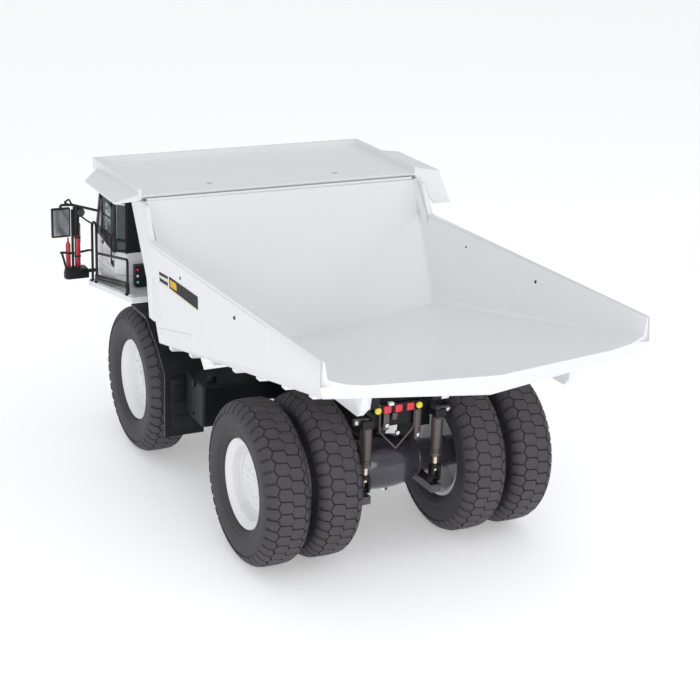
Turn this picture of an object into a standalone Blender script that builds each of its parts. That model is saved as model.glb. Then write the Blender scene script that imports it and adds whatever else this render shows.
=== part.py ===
"""Scale model of a rigid mining dump truck, 1:50, built from separate named pieces.

The truck stands on the ground plane z = 0 and faces -Y. Its left side, with the cab, is +X.
The origin is on the ground under the middle of the whole model. Lengths are in metres.
"""

import math

import bmesh
import bpy
from mathutils import Matrix, Vector

# ---------------------------------------------------------------- driving dimensions
GAP = 0.0002  # air between pieces that touch
PLAY = 0.0003  # radial clearance of a turning pin

WHEELBASE = 0.0992
REAR_AXLE_Y = 0.0350
FRONT_AXLE_Y = REAR_AXLE_Y - WHEELBASE

TYRE_RADIUS = 0.0266
TYRE_WIDTH = 0.0149
TYRE_STEPS = 36
RIM_RADIUS = 0.0146
RIM_WIDTH = 0.0106
RIM_WALL = 0.0011
RIM_STEPS = 28
FRONT_WHEEL_X = 0.0439
REAR_OUTER_X = 0.0434
TWIN_SPACING = 0.0176

KINGPIN_X = 0.0330
SPINDLE_RADIUS = 0.0020
STRUT_RADIUS = 0.0026
STRUT_TOP_Z = 0.0500
TIE_ROD_Z = 0.0180
TIE_ROD_SETBACK = 0.0085  # from the front axle line to the rod

RAIL_X = 0.0110  # middle of each frame rail
RAIL_WIDTH = 0.0030
RAIL_TOP_FRONT = 0.0440
RAIL_TOP_MID = 0.0452
RAIL_TOP_REAR = 0.0520
RAIL_BOTTOM = 0.0290
RAIL_BOTTOM_REAR = 0.0390
FRAME_FRONT = -0.1310  # these y values are measured from the rear axle
FRAME_REAR = 0.0085

AXLE_TUBE_RADIUS = 0.0050
AXLE_BOWL_RADIUS = 0.0084
AXLE_STEPS = 24
REAR_STRUT_X = 0.0127
REAR_STRUT_Y = 0.0131
REAR_STRUT_TOP_Z = 0.0456
REAR_STRUT_RADIUS = 0.0019
REAR_TUBE_LOW = 0.0066  # from the wheel centre up to the tube's lower end
REAR_ROD_RADIUS = 0.0011
CLEVIS_HALF = 0.0017
CLEVIS_TOP = 0.0018  # from the wheel centre up
CLEVIS_LOW = -0.0042

BED_PIVOT_Y = 0.0120
BED_PIVOT_Z = 0.0540
BED_PIVOT = (0.0, REAR_AXLE_Y + BED_PIVOT_Y, BED_PIVOT_Z)
BED_PIN_RADIUS = 0.0016
HINGE_PLATE_WIDTH = 0.0026

HOIST_X = 0.0153
HOIST_FOOT_Y = -0.0300
HOIST_FOOT_Z = 0.0240
HOIST_HEAD_Y = -0.0180
HOIST_HEAD_Z = 0.0548
HOIST_BARREL_RADIUS = 0.0019
HOIST_ROD_RADIUS = 0.0010
HOIST_BARREL_LENGTH = 0.0285

# load bed: half widths and heights, y from the rear axle
FLOOR_HALF_WIDTH = 0.0468
FLOOR_CREASE_HALF_WIDTH = 0.0050
FLOOR_FRONT_Y = -0.0612
FLOOR_FRONT_Z = 0.0497
FLOOR_SIDE_FRONT_Y = -0.0535
FLOOR_SIDE_FRONT_Z = 0.0587
TAIL_CORNER_Y = 0.0643
TAIL_CORNER_Z = 0.0827
TAIL_TIP_Y = 0.0680
TAIL_TIP_Z = 0.0805
CHINE_HALF_FRONT = 0.0478
CHINE_HALF_TAIL = 0.0495
CHINE_RISE_FRONT = 0.0026
CHINE_RISE_TAIL = 0.0046
WALL_INNER_HALF = 0.0522
WALL_OUTER_HALF = 0.0543
WALL_FOOT_HALF = 0.0512
WALL_TOP_FRONT_Z = 0.0873
WALL_TOP_TAIL_Z = 0.0898
WALL_FOOT_FRONT_Z = 0.0512
WALL_FOOT_TAIL_Z = 0.0766
WALL_FRONT_Y = -0.0706
HEAD_TOP_Y = -0.0808
HEAD_TOP_Z = 0.0998
HEAD_CORNER_Y = -0.0756
HEAD_CORNER_Z = 0.0860
HEAD_PLATE = 0.0022
FLANGE_TOP_Y = -0.0890
FLOOR_PLATE = 0.0022

CANOPY_HALF = 0.0537
CANOPY_FRONT_Y = -0.1302
CANOPY_FLOOR_Z = 0.0999
CANOPY_PLATE = 0.0014
RIM_TOP_Z = 0.1022
CANOPY_SIDE_DROP = 0.0040
RIM_THICK = 0.0012
BED_TOP_Z = RIM_TOP_Z - CANOPY_SIDE_DROP - GAP
EAR_OUT = 0.0622
EAR_TIP_Y = -0.1132
EAR_EDGE_Z = 0.0981
RIGHT_EAR_OUT = 0.0633
RIGHT_EAR_EDGE_Z = 0.1001
RIGHT_WING_OUT = 0.0684
RIGHT_WING_Z = 0.0877

RIB_COUNT = 7
RIB_START_Y = -0.0590
RIB_PITCH = 0.0182
RIB_THICK = 0.0026
RIB_DROP = 0.0016
BEAM_THICK = 0.0028
BEAM_REAR_Y = 0.0250
FIN_X = 0.0348
FIN_THICK = 0.0022
FIN_BOTTOM_Z = 0.0666
FIN_REAR_Y = 0.0530

CAB_OUTER_X = 0.0520
CAB_INNER_X = 0.0175
CAB_FRONT_Y = -0.1330
CAB_REAR_Y = -0.1076
CAB_CHAMFER = 0.0034  # the cut-off rear left corner, along each side
CAB_FLOOR_Z = 0.0632
CAB_TOP_Z = 0.0910
CAB_LEAN = 0.0055  # how far the windscreen's top lies behind its foot
CAB_WALL = 0.0012
CAB_BELT_Z = 0.0760
ROOF_THICK = 0.0022
CAB_POST = 0.0022
REAR_WINDOW_OUT_X = 0.0400
DOOR_REAR_Y = -0.1124
GLASS = 0.0006

DECK_HALF = 0.0545
DECK_FRONT_Y = -0.1345
DECK_REAR_Y = -0.0860
DECK_FRONT_Z = 0.0545
DECK_REAR_Z = 0.0622
DECK_THICK = 0.0020

FENDER_INNER_X = 0.0358
FENDER_OUTER_X = 0.0502
FLAP_BOTTOM_Z = 0.0172
FENDER_PLATE = 0.0011

BUMPER_FRONT_Y = -0.1380
BUMPER_HALF = 0.0420
BUMPER_BOTTOM_Z = 0.0200
BUMPER_TOP_Z = 0.0310
BUMPER_THICK = 0.0036
GRILLE_HALF = 0.0150
LADDER_X = 0.0260
LADDER_HALF = 0.0044

TANK_INNER_X = 0.0200
TANK_OUTER_X = 0.0440
TANK_FRONT_Y = -0.0620
TANK_REAR_Y = -0.0457
TANK_BOTTOM_Z = 0.0270
TANK_TOP_Z = 0.0420

MIRROR_OUT_X = 0.0684
MIRROR_IN_X = 0.0613
MIRROR_LOW_Z = 0.0720
MIRROR_TOP_Z = 0.0832
MIRROR_Y = -0.1342
MIRROR_THICK = 0.0016
ARM_RADIUS = 0.0005
STEP_TOP_Z = 0.0600
POST_X = 0.0605

HANDRAIL_X = 0.0540
HANDRAIL_RADIUS = 0.0005

KNOT_TURN = 0.40  # radians, so that a knot's facets never lie on a tube's
KNOT_AXIS = (0.5, 0.3, 0.8)

# ---------------------------------------------------------------- finishes
WHITE = ("white_paint", (0.86, 0.86, 0.87), 0.38, 0.0)
BLACK = ("black_plastic", (0.018, 0.020, 0.024), 0.45, 0.0)
RUBBER = ("tyre_rubber", (0.045, 0.040, 0.043), 0.75, 0.0)
DARK_METAL = ("axle_paint", (0.055, 0.052, 0.062), 0.30, 0.2)
STRUT_METAL = ("strut_metal", (0.16, 0.13, 0.12), 0.35, 0.7)
ROD_METAL = ("rod_metal", (0.70, 0.58, 0.50), 0.18, 1.0)
CLEAR = ("cab_glass", (0.55, 0.62, 0.66), 0.05, 0.0)
RED = ("red_paint", (0.48, 0.02, 0.03), 0.35, 0.0)
LAMP_RED = ("lamp_red", (0.60, 0.02, 0.03), 0.20, 0.0)

parts = bpy.data.collections.new("mining_dump_truck")
helpers = bpy.data.collections.new("helpers")


# ---------------------------------------------------------------- tools
def clear_scene():
    for obj in list(bpy.data.objects):
        bpy.data.objects.remove(obj)
    bpy.context.scene.collection.children.link(parts)
    bpy.context.scene.collection.children.link(helpers)


def finish_of(finish):
    name, colour, roughness, metallic = finish
    material = bpy.data.materials.get(name)
    if material is None:
        material = bpy.data.materials.new(name)
        material.use_nodes = True
        shader = material.node_tree.nodes["Principled BSDF"]
        shader.inputs["Base Color"].default_value = (*colour, 1.0)
        shader.inputs["Roughness"].default_value = roughness
        shader.inputs["Metallic"].default_value = metallic
    return material


def place(bm, name, finish=None):
    """Makes an object of a bmesh. With a finish it is a part, and without one it is a helper."""
    bmesh.ops.recalc_face_normals(bm, faces=bm.faces)
    mesh = bpy.data.meshes.new(name)
    bm.to_mesh(mesh)
    bm.free()
    obj = bpy.data.objects.new(name, mesh)
    if finish is None:
        obj.hide_render = True
        obj.display_type = "WIRE"
        helpers.objects.link(obj)
    else:
        mesh.materials.append(finish_of(finish))
        parts.objects.link(obj)
    return obj


def box(name, x, y, z, finish=None):
    """A box between the two values of each axis."""
    bm = bmesh.new()
    bmesh.ops.create_cube(bm, size=1.0)
    size = Vector((x[1] - x[0], y[1] - y[0], z[1] - z[0]))
    centre = Vector((x[0] + x[1], y[0] + y[1], z[0] + z[1])) / 2
    bmesh.ops.scale(bm, vec=size, verts=bm.verts)
    bmesh.ops.translate(bm, vec=centre, verts=bm.verts)
    return place(bm, name, finish)


def hull(name, points, finish=None):
    """The convex solid around the points."""
    bm = bmesh.new()
    for point in points:
        bm.verts.new(point)
    made = bmesh.ops.convex_hull(bm, input=bm.verts)
    loose = [item for item in made["geom_interior"] if isinstance(item, bmesh.types.BMVert)]
    bmesh.ops.delete(bm, geom=loose, context="VERTS")
    return place(bm, name, finish)


def plate(name, outline, x, finish=None):
    """A flat plate between two x values, from its (y, z) outline."""
    bm = bmesh.new()
    face = bm.faces.new([bm.verts.new((x[0], y, z)) for y, z in outline])
    pushed = bmesh.ops.extrude_face_region(bm, geom=[face])
    moved = [item for item in pushed["geom"] if isinstance(item, bmesh.types.BMVert)]
    bmesh.ops.translate(bm, vec=(x[1] - x[0], 0, 0), verts=moved)
    return place(bm, name, finish)


def rod(name, start, end, radius, finish=None, sides=12, radius_end=None):
    """A cylinder, or a cone, from one point to another."""
    start, end = Vector(start), Vector(end)
    bm = bmesh.new()
    bmesh.ops.create_cone(
        bm,
        cap_ends=True,
        segments=sides,
        radius1=radius,
        radius2=radius if radius_end is None else radius_end,
        depth=(end - start).length,
    )
    turn = Vector((0, 0, 1)).rotation_difference(end - start).to_matrix().to_4x4()
    middle = Matrix.Translation((start + end) / 2)
    bmesh.ops.transform(bm, matrix=middle @ turn, verts=bm.verts)
    return place(bm, name, finish)


def turned(name, profile, centre, side, steps, finish, closed):
    """A turned piece about X. The profile is (radius, distance outboard) down the outer side."""
    bm = bmesh.new()
    points = [bm.verts.new((radius, 0, out)) for radius, out in profile]
    for first, second in zip(points, points[1:]):
        bm.edges.new((first, second))
    if closed:
        bm.edges.new((points[-1], points[0]))
    mesh = bpy.data.meshes.new(name)
    bm.to_mesh(mesh)
    bm.free()
    mesh.materials.append(finish_of(finish))
    obj = bpy.data.objects.new(name, mesh)
    parts.objects.link(obj)
    screw = obj.modifiers.new("turn", "SCREW")
    screw.steps = steps
    screw.render_steps = steps
    screw.use_merge_vertices = True
    screw.merge_threshold = 0.00001
    obj.rotation_euler = (0, side * math.pi / 2, 0)
    obj.location = centre
    return obj


def boolean(obj, others, operation):
    for other in others:
        modifier = obj.modifiers.new(operation.lower(), "BOOLEAN")
        modifier.operation = operation
        modifier.object = other
        modifier.solver = "EXACT"
    return obj


def pivot_at(obj, point):
    """Puts the object's origin on its joint's axis, and leaves the shape where it is."""
    obj.data.transform(Matrix.Translation(-Vector(point)))
    obj.location = point


def join(obj, *others):
    return boolean(obj, others, "UNION")


def cut(obj, *others):
    return boolean(obj, others, "DIFFERENCE")


def back(y):
    """World y of a place given from the rear axle."""
    return REAR_AXLE_Y + y


def both(x, y, z):
    """A point and its mirror, with y given from the rear axle."""
    return [(x, back(y), z), (-x, back(y), z)]


def along(start, end, share):
    return tuple(a + (b - a) * share for a, b in zip(start, end))


SIDES = (("left", 1), ("right", -1))


# ---------------------------------------------------------------- wheels
def tyre(name, x, y, side):
    half = TYRE_WIDTH / 2
    bead = RIM_RADIUS + GAP
    band = TYRE_RADIUS - bead
    outer = [
        (bead, half * 0.76),
        (bead + band * 0.26, half * 0.94),
        (bead + band * 0.60, half),
        (bead + band * 0.88, half * 0.93),
        (TYRE_RADIUS, half * 0.70),
    ]
    profile = outer + [(radius, -out) for radius, out in reversed(outer)]
    turned(name, profile, (side * x, y, TYRE_RADIUS), side, TYRE_STEPS, RUBBER, True)


def front_rim(name, side):
    half = RIM_WIDTH / 2
    bore = SPINDLE_RADIUS + PLAY
    profile = [
        (0, half * 0.62),
        (0.0030, half * 0.62),
        (0.0038, half * 0.40),
        (0.0070, half * 0.34),
        (RIM_RADIUS - 0.0030, half * 0.10),
        (RIM_RADIUS - RIM_WALL, half * 0.92),
        (RIM_RADIUS - RIM_WALL, half),
        (RIM_RADIUS, half),
        (RIM_RADIUS, -half),
        (RIM_RADIUS - RIM_WALL, -half),
        (RIM_RADIUS - 0.0026, -half * 0.30),
        (bore, -half * 0.30),
        (bore, half * 0.20),
        (0, half * 0.20),
    ]
    centre = (side * FRONT_WHEEL_X, FRONT_AXLE_Y, TYRE_RADIUS)
    turned(name, profile, centre, side, RIM_STEPS, WHITE, False)


def twin_rim(name, side):
    far = TWIN_SPACING / 2 + RIM_WIDTH / 2
    near = TWIN_SPACING / 2 - RIM_WIDTH / 2
    neck = RIM_RADIUS - 0.0010
    profile = [
        (0, near + 0.0034),
        (0.0040, near + 0.0034),
        (0.0048, near + 0.0026),
        (0.0084, near + 0.0022),
        (0.0090, near + 0.0008),
        (RIM_RADIUS - 0.0026, near + 0.0004),
        (RIM_RADIUS - RIM_WALL, far),
        (RIM_RADIUS, far),
        (RIM_RADIUS, near),
        (neck, near - 0.0008),
        (neck, -near + 0.0008),
        (RIM_RADIUS, -near),
        (RIM_RADIUS, -far),
        (RIM_RADIUS - RIM_WALL, -far),
        (RIM_RADIUS - 0.0026, -near),
        (0, -near),
    ]
    centre = (side * (REAR_OUTER_X - TWIN_SPACING / 2), REAR_AXLE_Y, TYRE_RADIUS)
    turned(name, profile, centre, side, RIM_STEPS, WHITE, False)


def wheels():
    for word, side in SIDES:
        front_rim(f"front_{word}_rim", side)
        tyre(f"front_{word}_tyre", FRONT_WHEEL_X, FRONT_AXLE_Y, side)
        twin_rim(f"rear_{word}_rims", side)
        tyre(f"rear_{word}_outer_tyre", REAR_OUTER_X, REAR_AXLE_Y, side)
        tyre(f"rear_{word}_inner_tyre", REAR_OUTER_X - TWIN_SPACING, REAR_AXLE_Y, side)


# ---------------------------------------------------------------- running gear
def knuckle(word, side):
    """The steered piece on the strut: its column, the spindle and the steering arm."""
    x = side * KINGPIN_X
    y = FRONT_AXLE_Y
    name = f"{word}_knuckle"
    top = STRUT_TOP_Z - 0.0150
    column = rod(name, (x, y, TYRE_RADIUS - 0.0085), (x, y, top), STRUT_RADIUS * 0.8, DARK_METAL)
    end = side * (FRONT_WHEEL_X + RIM_WIDTH / 2 * 0.16)
    spindle = rod(f"{name}_spindle", (x, y, TYRE_RADIUS), (end, y, TYRE_RADIUS), SPINDLE_RADIUS)
    drum_end = side * (FRONT_WHEEL_X - RIM_WIDTH * 0.22)
    drum = rod(f"{name}_drum", (x, y, TYRE_RADIUS), (drum_end, y, TYRE_RADIUS), 0.0062, sides=16)
    arm_low = TIE_ROD_Z - 0.0022
    arm = box(
        f"{name}_arm",
        sorted((x - side * 0.0012, x + side * 0.0012)),
        (y, y + TIE_ROD_SETBACK + 0.0012),
        (arm_low, arm_low + 0.0012),
    )
    foot = rod(f"{name}_foot", (x, y, arm_low), (x, y, TYRE_RADIUS), STRUT_RADIUS * 0.9)
    join(column, spindle, drum, foot, arm)
    pivot_at(column, (x, y, TYRE_RADIUS))


def front_strut(word, side):
    """The strut's outer tube on its bracket, fixed to the frame rail."""
    x = side * KINGPIN_X
    y = FRONT_AXLE_Y
    name = f"{word}_front_strut"
    low = STRUT_TOP_Z - 0.0150 + GAP
    tube = rod(name, (x, y, low), (x, y, STRUT_TOP_Z), STRUT_RADIUS, STRUT_METAL)
    rail_face = side * (RAIL_X + RAIL_WIDTH / 2 + GAP)
    bracket = hull(
        f"{name}_bracket",
        [
            (rail_face, y - 0.0060, low + 0.0040),
            (rail_face, y + 0.0060, low + 0.0040),
            (rail_face, y - 0.0060, RAIL_TOP_FRONT - 0.0010),
            (rail_face, y + 0.0060, RAIL_TOP_FRONT - 0.0010),
            (x, y - 0.0016, STRUT_TOP_Z - 0.0080),
            (x, y + 0.0016, STRUT_TOP_Z - 0.0080),
            (x, y - 0.0016, STRUT_TOP_Z - 0.0010),
            (x, y + 0.0016, STRUT_TOP_Z - 0.0010),
        ],
    )
    join(tube, bracket)


def tie_rod():
    y = FRONT_AXLE_Y + TIE_ROD_SETBACK
    z = TIE_ROD_Z
    rod("tie_rod", (-KINGPIN_X, y, z), (KINGPIN_X, y, z), 0.0008, DARK_METAL, sides=8)


def rear_axle():
    """The axle housing: a thick round barrel in the middle that narrows to a tube at each side."""
    y = REAR_AXLE_Y
    z = TYRE_RADIUS
    reach = REAR_OUTER_X - TWIN_SPACING / 2 - (TWIN_SPACING - RIM_WIDTH) / 2 - GAP
    bowl = AXLE_BOWL_RADIUS
    half = [
        (bowl, reach * 0.14),
        (bowl * 0.93, reach * 0.25),
        (bowl * 0.76, reach * 0.36),
        (AXLE_TUBE_RADIUS + 0.0006, reach * 0.48),
        (AXLE_TUBE_RADIUS, reach * 0.60),
        (AXLE_TUBE_RADIUS, reach),
        (0, reach),
    ]
    profile = [(radius, -out) for radius, out in reversed(half)] + half
    tube = turned("rear_axle", profile, (0, y, z), -1, AXLE_STEPS, DARK_METAL, False)
    pieces = []
    for word, side in SIDES:
        ear_x = sorted((side * (REAR_STRUT_X - CLEVIS_HALF), side * (REAR_STRUT_X + CLEVIS_HALF)))
        ear_top = TYRE_RADIUS + CLEVIS_LOW - GAP
        ear_y = (y, back(REAR_STRUT_Y) + CLEVIS_HALF)
        pieces.append(box(f"rear_axle_ear_{word}", ear_x, ear_y, (ear_top - 0.0026, ear_top)))
    nose = rod("rear_axle_nose", (0, y, z), (0, y - 0.0180, z + 0.0020), 0.0065, sides=16, radius_end=0.0035)
    join(tube, *pieces, nose)


def rear_strut(word, side):
    """The rear suspension cylinder between the frame's tail and the axle, with the clevis at its foot."""
    x = side * REAR_STRUT_X
    y = back(REAR_STRUT_Y)
    name = f"{word}_rear_strut"
    foot = TYRE_RADIUS + CLEVIS_LOW
    clevis_top = TYRE_RADIUS + CLEVIS_TOP
    split = TYRE_RADIUS + REAR_TUBE_LOW
    tube = rod(name, (x, y, split), (x, y, REAR_STRUT_TOP_Z), REAR_STRUT_RADIUS, STRUT_METAL)
    piston = rod(f"{name}_rod", (x, y, clevis_top - 0.0010), (x, y, split + 0.0020), REAR_ROD_RADIUS)
    clevis = box(
        f"{name}_clevis",
        (x - CLEVIS_HALF, x + CLEVIS_HALF),
        (y - CLEVIS_HALF, y + CLEVIS_HALF),
        (foot, clevis_top),
    )
    slot = box(
        f"{name}_slot",
        (x - CLEVIS_HALF * 0.35, x + CLEVIS_HALF * 0.35),
        (y - CLEVIS_HALF - 0.0010, y + CLEVIS_HALF + 0.0010),
        (foot - 0.0010, foot + (clevis_top - foot) * 0.6),
    )
    join(tube, piston, clevis)
    cut(tube, slot)


# ---------------------------------------------------------------- frame
def frame():
    """Two rails, their cross members, the tail with its bed pins and the hoist feet."""
    outline = [
        (back(FRAME_FRONT), RAIL_BOTTOM),
        (back(-0.0420), RAIL_BOTTOM),
        (back(-0.0220), RAIL_BOTTOM_REAR),
        (back(FRAME_REAR), RAIL_BOTTOM_REAR + 0.0020),
        (back(FRAME_REAR), BED_PIVOT_Z - 0.0040),
        (back(BED_PIVOT_Y + 0.0030), BED_PIVOT_Z - 0.0020),
        (back(BED_PIVOT_Y + 0.0030), BED_PIVOT_Z + 0.0020),
        (back(BED_PIVOT_Y + 0.0010), BED_PIVOT_Z + 0.0032),
        (back(BED_PIVOT_Y - 0.0030), BED_PIVOT_Z + 0.0024),
        (back(BED_PIVOT_Y - 0.0060), RAIL_TOP_REAR),
        (back(-0.0640), RAIL_TOP_MID),
        (back(FRAME_FRONT), RAIL_TOP_FRONT),
    ]
    inner = RAIL_X - RAIL_WIDTH / 2
    outer = RAIL_X + RAIL_WIDTH / 2
    rails = plate("main_frame", outline, (inner, outer), BLACK)
    right = plate("main_frame_right", outline, (-outer, -inner))
    cross = inner + RAIL_WIDTH / 2
    members = [
        box("frame_cross_front", (-cross, cross), (back(-0.1290), back(-0.1230)), (0.0300, 0.0400)),
        box("frame_cross_mid", (-cross, cross), (back(-0.0560), back(-0.0500)), (0.0310, 0.0420)),
        box("frame_cross_rear", (-cross, cross), (back(0.0020), back(FRAME_REAR) - 0.0001), (0.0425, 0.0508)),
    ]
    for word, side in SIDES:
        pin_end = side * (outer + HINGE_PLATE_WIDTH + 3 * GAP)
        pin_y = back(BED_PIVOT_Y)
        members.append(
            rod(f"bed_pin_{word}", (side * cross, pin_y, BED_PIVOT_Z), (pin_end, pin_y, BED_PIVOT_Z), BED_PIN_RADIUS)
        )
        shelf_x = sorted((side * cross, side * (REAR_STRUT_X + 0.0022)))
        shelf_z = (REAR_STRUT_TOP_Z + GAP, REAR_STRUT_TOP_Z + 0.0024)
        members.append(box(f"strut_shelf_{word}", shelf_x, (back(FRAME_REAR - 0.0035), back(REAR_STRUT_Y + 0.0017)), shelf_z))
        foot_y = back(HOIST_FOOT_Y)
        foot_pin = (side * cross, foot_y, HOIST_FOOT_Z)
        lug = hull(
            f"hoist_lug_{word}",
            [(side * x, foot_y + dy, z) for x in (inner, outer) for dy in (-0.0030, 0.0030) for z in (0.0215, 0.0400)],
        )
        members.append(lug)
        pin_tip = (side * (HOIST_X + HOIST_BARREL_RADIUS), foot_y, HOIST_FOOT_Z)
        members.append(rod(f"hoist_foot_pin_{word}", foot_pin, pin_tip, 0.0009, sides=10))
    join(rails, right, *members)


def engine():
    """The engine and gearbox as one plain block between the rails."""
    half = RAIL_X - RAIL_WIDTH / 2 - GAP
    box("engine_block", (-half, half), (back(-0.1215), back(-0.0620)), (0.0300, 0.0430), DARK_METAL)


# ---------------------------------------------------------------- load bed
def bed_cavity():
    """The space inside the load bed, longer and taller than the bed so that it opens it."""
    crease = (FLOOR_CREASE_HALF_WIDTH, FLOOR_FRONT_Y, FLOOR_FRONT_Z)
    tip = (0.0, TAIL_TIP_Y, TAIL_TIP_Z)
    side_front = (FLOOR_HALF_WIDTH, FLOOR_SIDE_FRONT_Y, FLOOR_SIDE_FRONT_Z)
    side_tail = (FLOOR_HALF_WIDTH, TAIL_CORNER_Y, TAIL_CORNER_Z)
    chine_front = (CHINE_HALF_FRONT, FLOOR_SIDE_FRONT_Y, FLOOR_SIDE_FRONT_Z + CHINE_RISE_FRONT)
    chine_tail = (CHINE_HALF_TAIL, TAIL_CORNER_Y, TAIL_CORNER_Z + CHINE_RISE_TAIL)
    head_corner = (WALL_INNER_HALF, HEAD_CORNER_Y, HEAD_CORNER_Z)
    head_top = (WALL_INNER_HALF, HEAD_TOP_Y, HEAD_TOP_Z)
    beyond = 1.20
    points = [crease, side_front, chine_front, head_corner, along(head_corner, head_top, 1.5)]
    points.append(along((0.0, FLOOR_FRONT_Y, FLOOR_FRONT_Z), tip, beyond))
    points.append(along(side_front, side_tail, beyond))
    points.append(along(chine_front, chine_tail, beyond))
    top_tail = (WALL_INNER_HALF + 0.0006, TAIL_CORNER_Y, WALL_TOP_TAIL_Z)
    points.append(along(head_corner, top_tail, beyond))
    points.append((WALL_INNER_HALF + 0.0006, TAIL_CORNER_Y + 0.0300, WALL_TOP_TAIL_Z + 0.0300))
    return hull("bed_cavity", [corner for point in points for corner in both(*point)])


def bed_outside(name, drop=0.0, finish=None):
    """The outside of the load bed as one convex solid. A drop lowers its underside."""
    points = [
        (WALL_OUTER_HALF, WALL_FRONT_Y + 0.0016, WALL_TOP_FRONT_Z),
        (WALL_OUTER_HALF - 0.0006, WALL_FRONT_Y - 0.0010, 0.0740 - drop),
        (WALL_FOOT_HALF, WALL_FRONT_Y, 0.0560 - drop),
        (WALL_FOOT_HALF, WALL_FRONT_Y + 0.0028, WALL_FOOT_FRONT_Z - drop),
        (WALL_FOOT_HALF, 0.0540, WALL_FOOT_TAIL_Z - drop),
        (WALL_FOOT_HALF + 0.0006, TAIL_CORNER_Y - 0.0035, 0.0778 - drop),
        (WALL_OUTER_HALF - 0.0002, TAIL_CORNER_Y - 0.0012, 0.0822),
        (WALL_OUTER_HALF - 0.0006, TAIL_CORNER_Y - 0.0016, WALL_TOP_TAIL_Z),
        (FLOOR_HALF_WIDTH, TAIL_CORNER_Y, TAIL_CORNER_Z),
        (0.0, TAIL_TIP_Y, TAIL_TIP_Z),
        (0.0, TAIL_TIP_Y - 0.0049, TAIL_TIP_Z - 0.0078 - drop),
        (FLOOR_CREASE_HALF_WIDTH, FLOOR_FRONT_Y - 0.0014, FLOOR_FRONT_Z - FLOOR_PLATE - drop),
        (FLOOR_CREASE_HALF_WIDTH, FLOOR_FRONT_Y - 0.0036, FLOOR_FRONT_Z - drop),
        (WALL_OUTER_HALF - 0.0006, HEAD_TOP_Y - HEAD_PLATE, BED_TOP_Z - GAP),
        (WALL_OUTER_HALF - 0.0006, HEAD_TOP_Y + 0.0040, BED_TOP_Z - GAP),
    ]
    return hull(name, [corner for point in points for corner in both(*point)], finish)


def underside_height(x, y):
    """Height of the bed's underside at a place given from the rear axle."""
    slope = (WALL_FOOT_TAIL_Z - WALL_FOOT_FRONT_Z) / (0.0540 - WALL_FRONT_Y - 0.0028)
    foot = WALL_FOOT_FRONT_Z + (y - WALL_FRONT_Y - 0.0028) * slope
    keel = FLOOR_FRONT_Z - FLOOR_PLATE + (y - FLOOR_FRONT_Y) * 0.2180
    return keel + (foot - keel) * x / WALL_FOOT_HALF


def bed_ribs():
    """The cross ribs and the two tail fins moulded under the bed. The ribs stop beside the beams."""
    pieces = []
    inner = RAIL_X + RAIL_WIDTH / 2 + HINGE_PLATE_WIDTH + 0.0016
    outer = WALL_FOOT_HALF - 0.0008
    for word, side in SIDES:
        for index in range(RIB_COUNT):
            y = RIB_START_Y + index * RIB_PITCH
            corners = []
            for x in (inner, outer):
                low = underside_height(x, y) - RIB_DROP
                for edge in (y - RIB_THICK / 2, y + RIB_THICK / 2):
                    corners += [(side * x, back(edge), low), (side * x, back(edge), low + 0.0050)]
            pieces.append(hull(f"bed_rib_{word}_{index}", corners))
        fin_x = sorted((side * (FIN_X - FIN_THICK / 2), side * (FIN_X + FIN_THICK / 2)))
        fin = [
            (back(0.0030), FIN_BOTTOM_Z),
            (back(FIN_REAR_Y - 0.0025), FIN_BOTTOM_Z),
            (back(FIN_REAR_Y), FIN_BOTTOM_Z + 0.0025),
            (back(FIN_REAR_Y), 0.0780),
            (back(0.0030), 0.0680),
        ]
        pieces.append(plate(f"tail_fin_{word}", fin, fin_x))
    return pieces


def load_bed():
    tub = bed_outside("load_bed", finish=WHITE)
    above = [
        (WALL_FRONT_Y + 0.0016, WALL_TOP_FRONT_Z),
        (TAIL_CORNER_Y + 0.0100, WALL_TOP_TAIL_Z + 0.0002),
        (TAIL_CORNER_Y + 0.0100, HEAD_TOP_Z + 0.0200),
        (HEAD_TOP_Y + 0.0046 - 0.0092, HEAD_TOP_Z + 0.0200),
    ]
    reach = WALL_OUTER_HALF + 0.0100
    open_top = plate("bed_open_top", [(back(y), z) for y, z in above], (-reach, reach))
    flanges = []
    for word, side in SIDES:
        outline = [
            (HEAD_TOP_Y + 0.0036, BED_TOP_Z),
            (FLANGE_TOP_Y, BED_TOP_Z),
            (WALL_FRONT_Y - 0.0022, 0.0730),
            (WALL_FRONT_Y + 0.0003, 0.0600),
            (WALL_FRONT_Y + 0.0050, 0.0600),
            (WALL_FRONT_Y + 0.0021, WALL_TOP_FRONT_Z - 0.0005),
        ]
        x = sorted((side * (WALL_INNER_HALF - 0.0004), side * (WALL_OUTER_HALF - 0.0004)))
        flanges.append(plate(f"bed_flange_{word}", [(back(y), z) for y, z in outline], x))
    join(tub, *bed_ribs())
    cut(tub, bed_cavity(), open_top)
    join(tub, *flanges)
    pivot_at(tub, BED_PIVOT)


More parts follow.
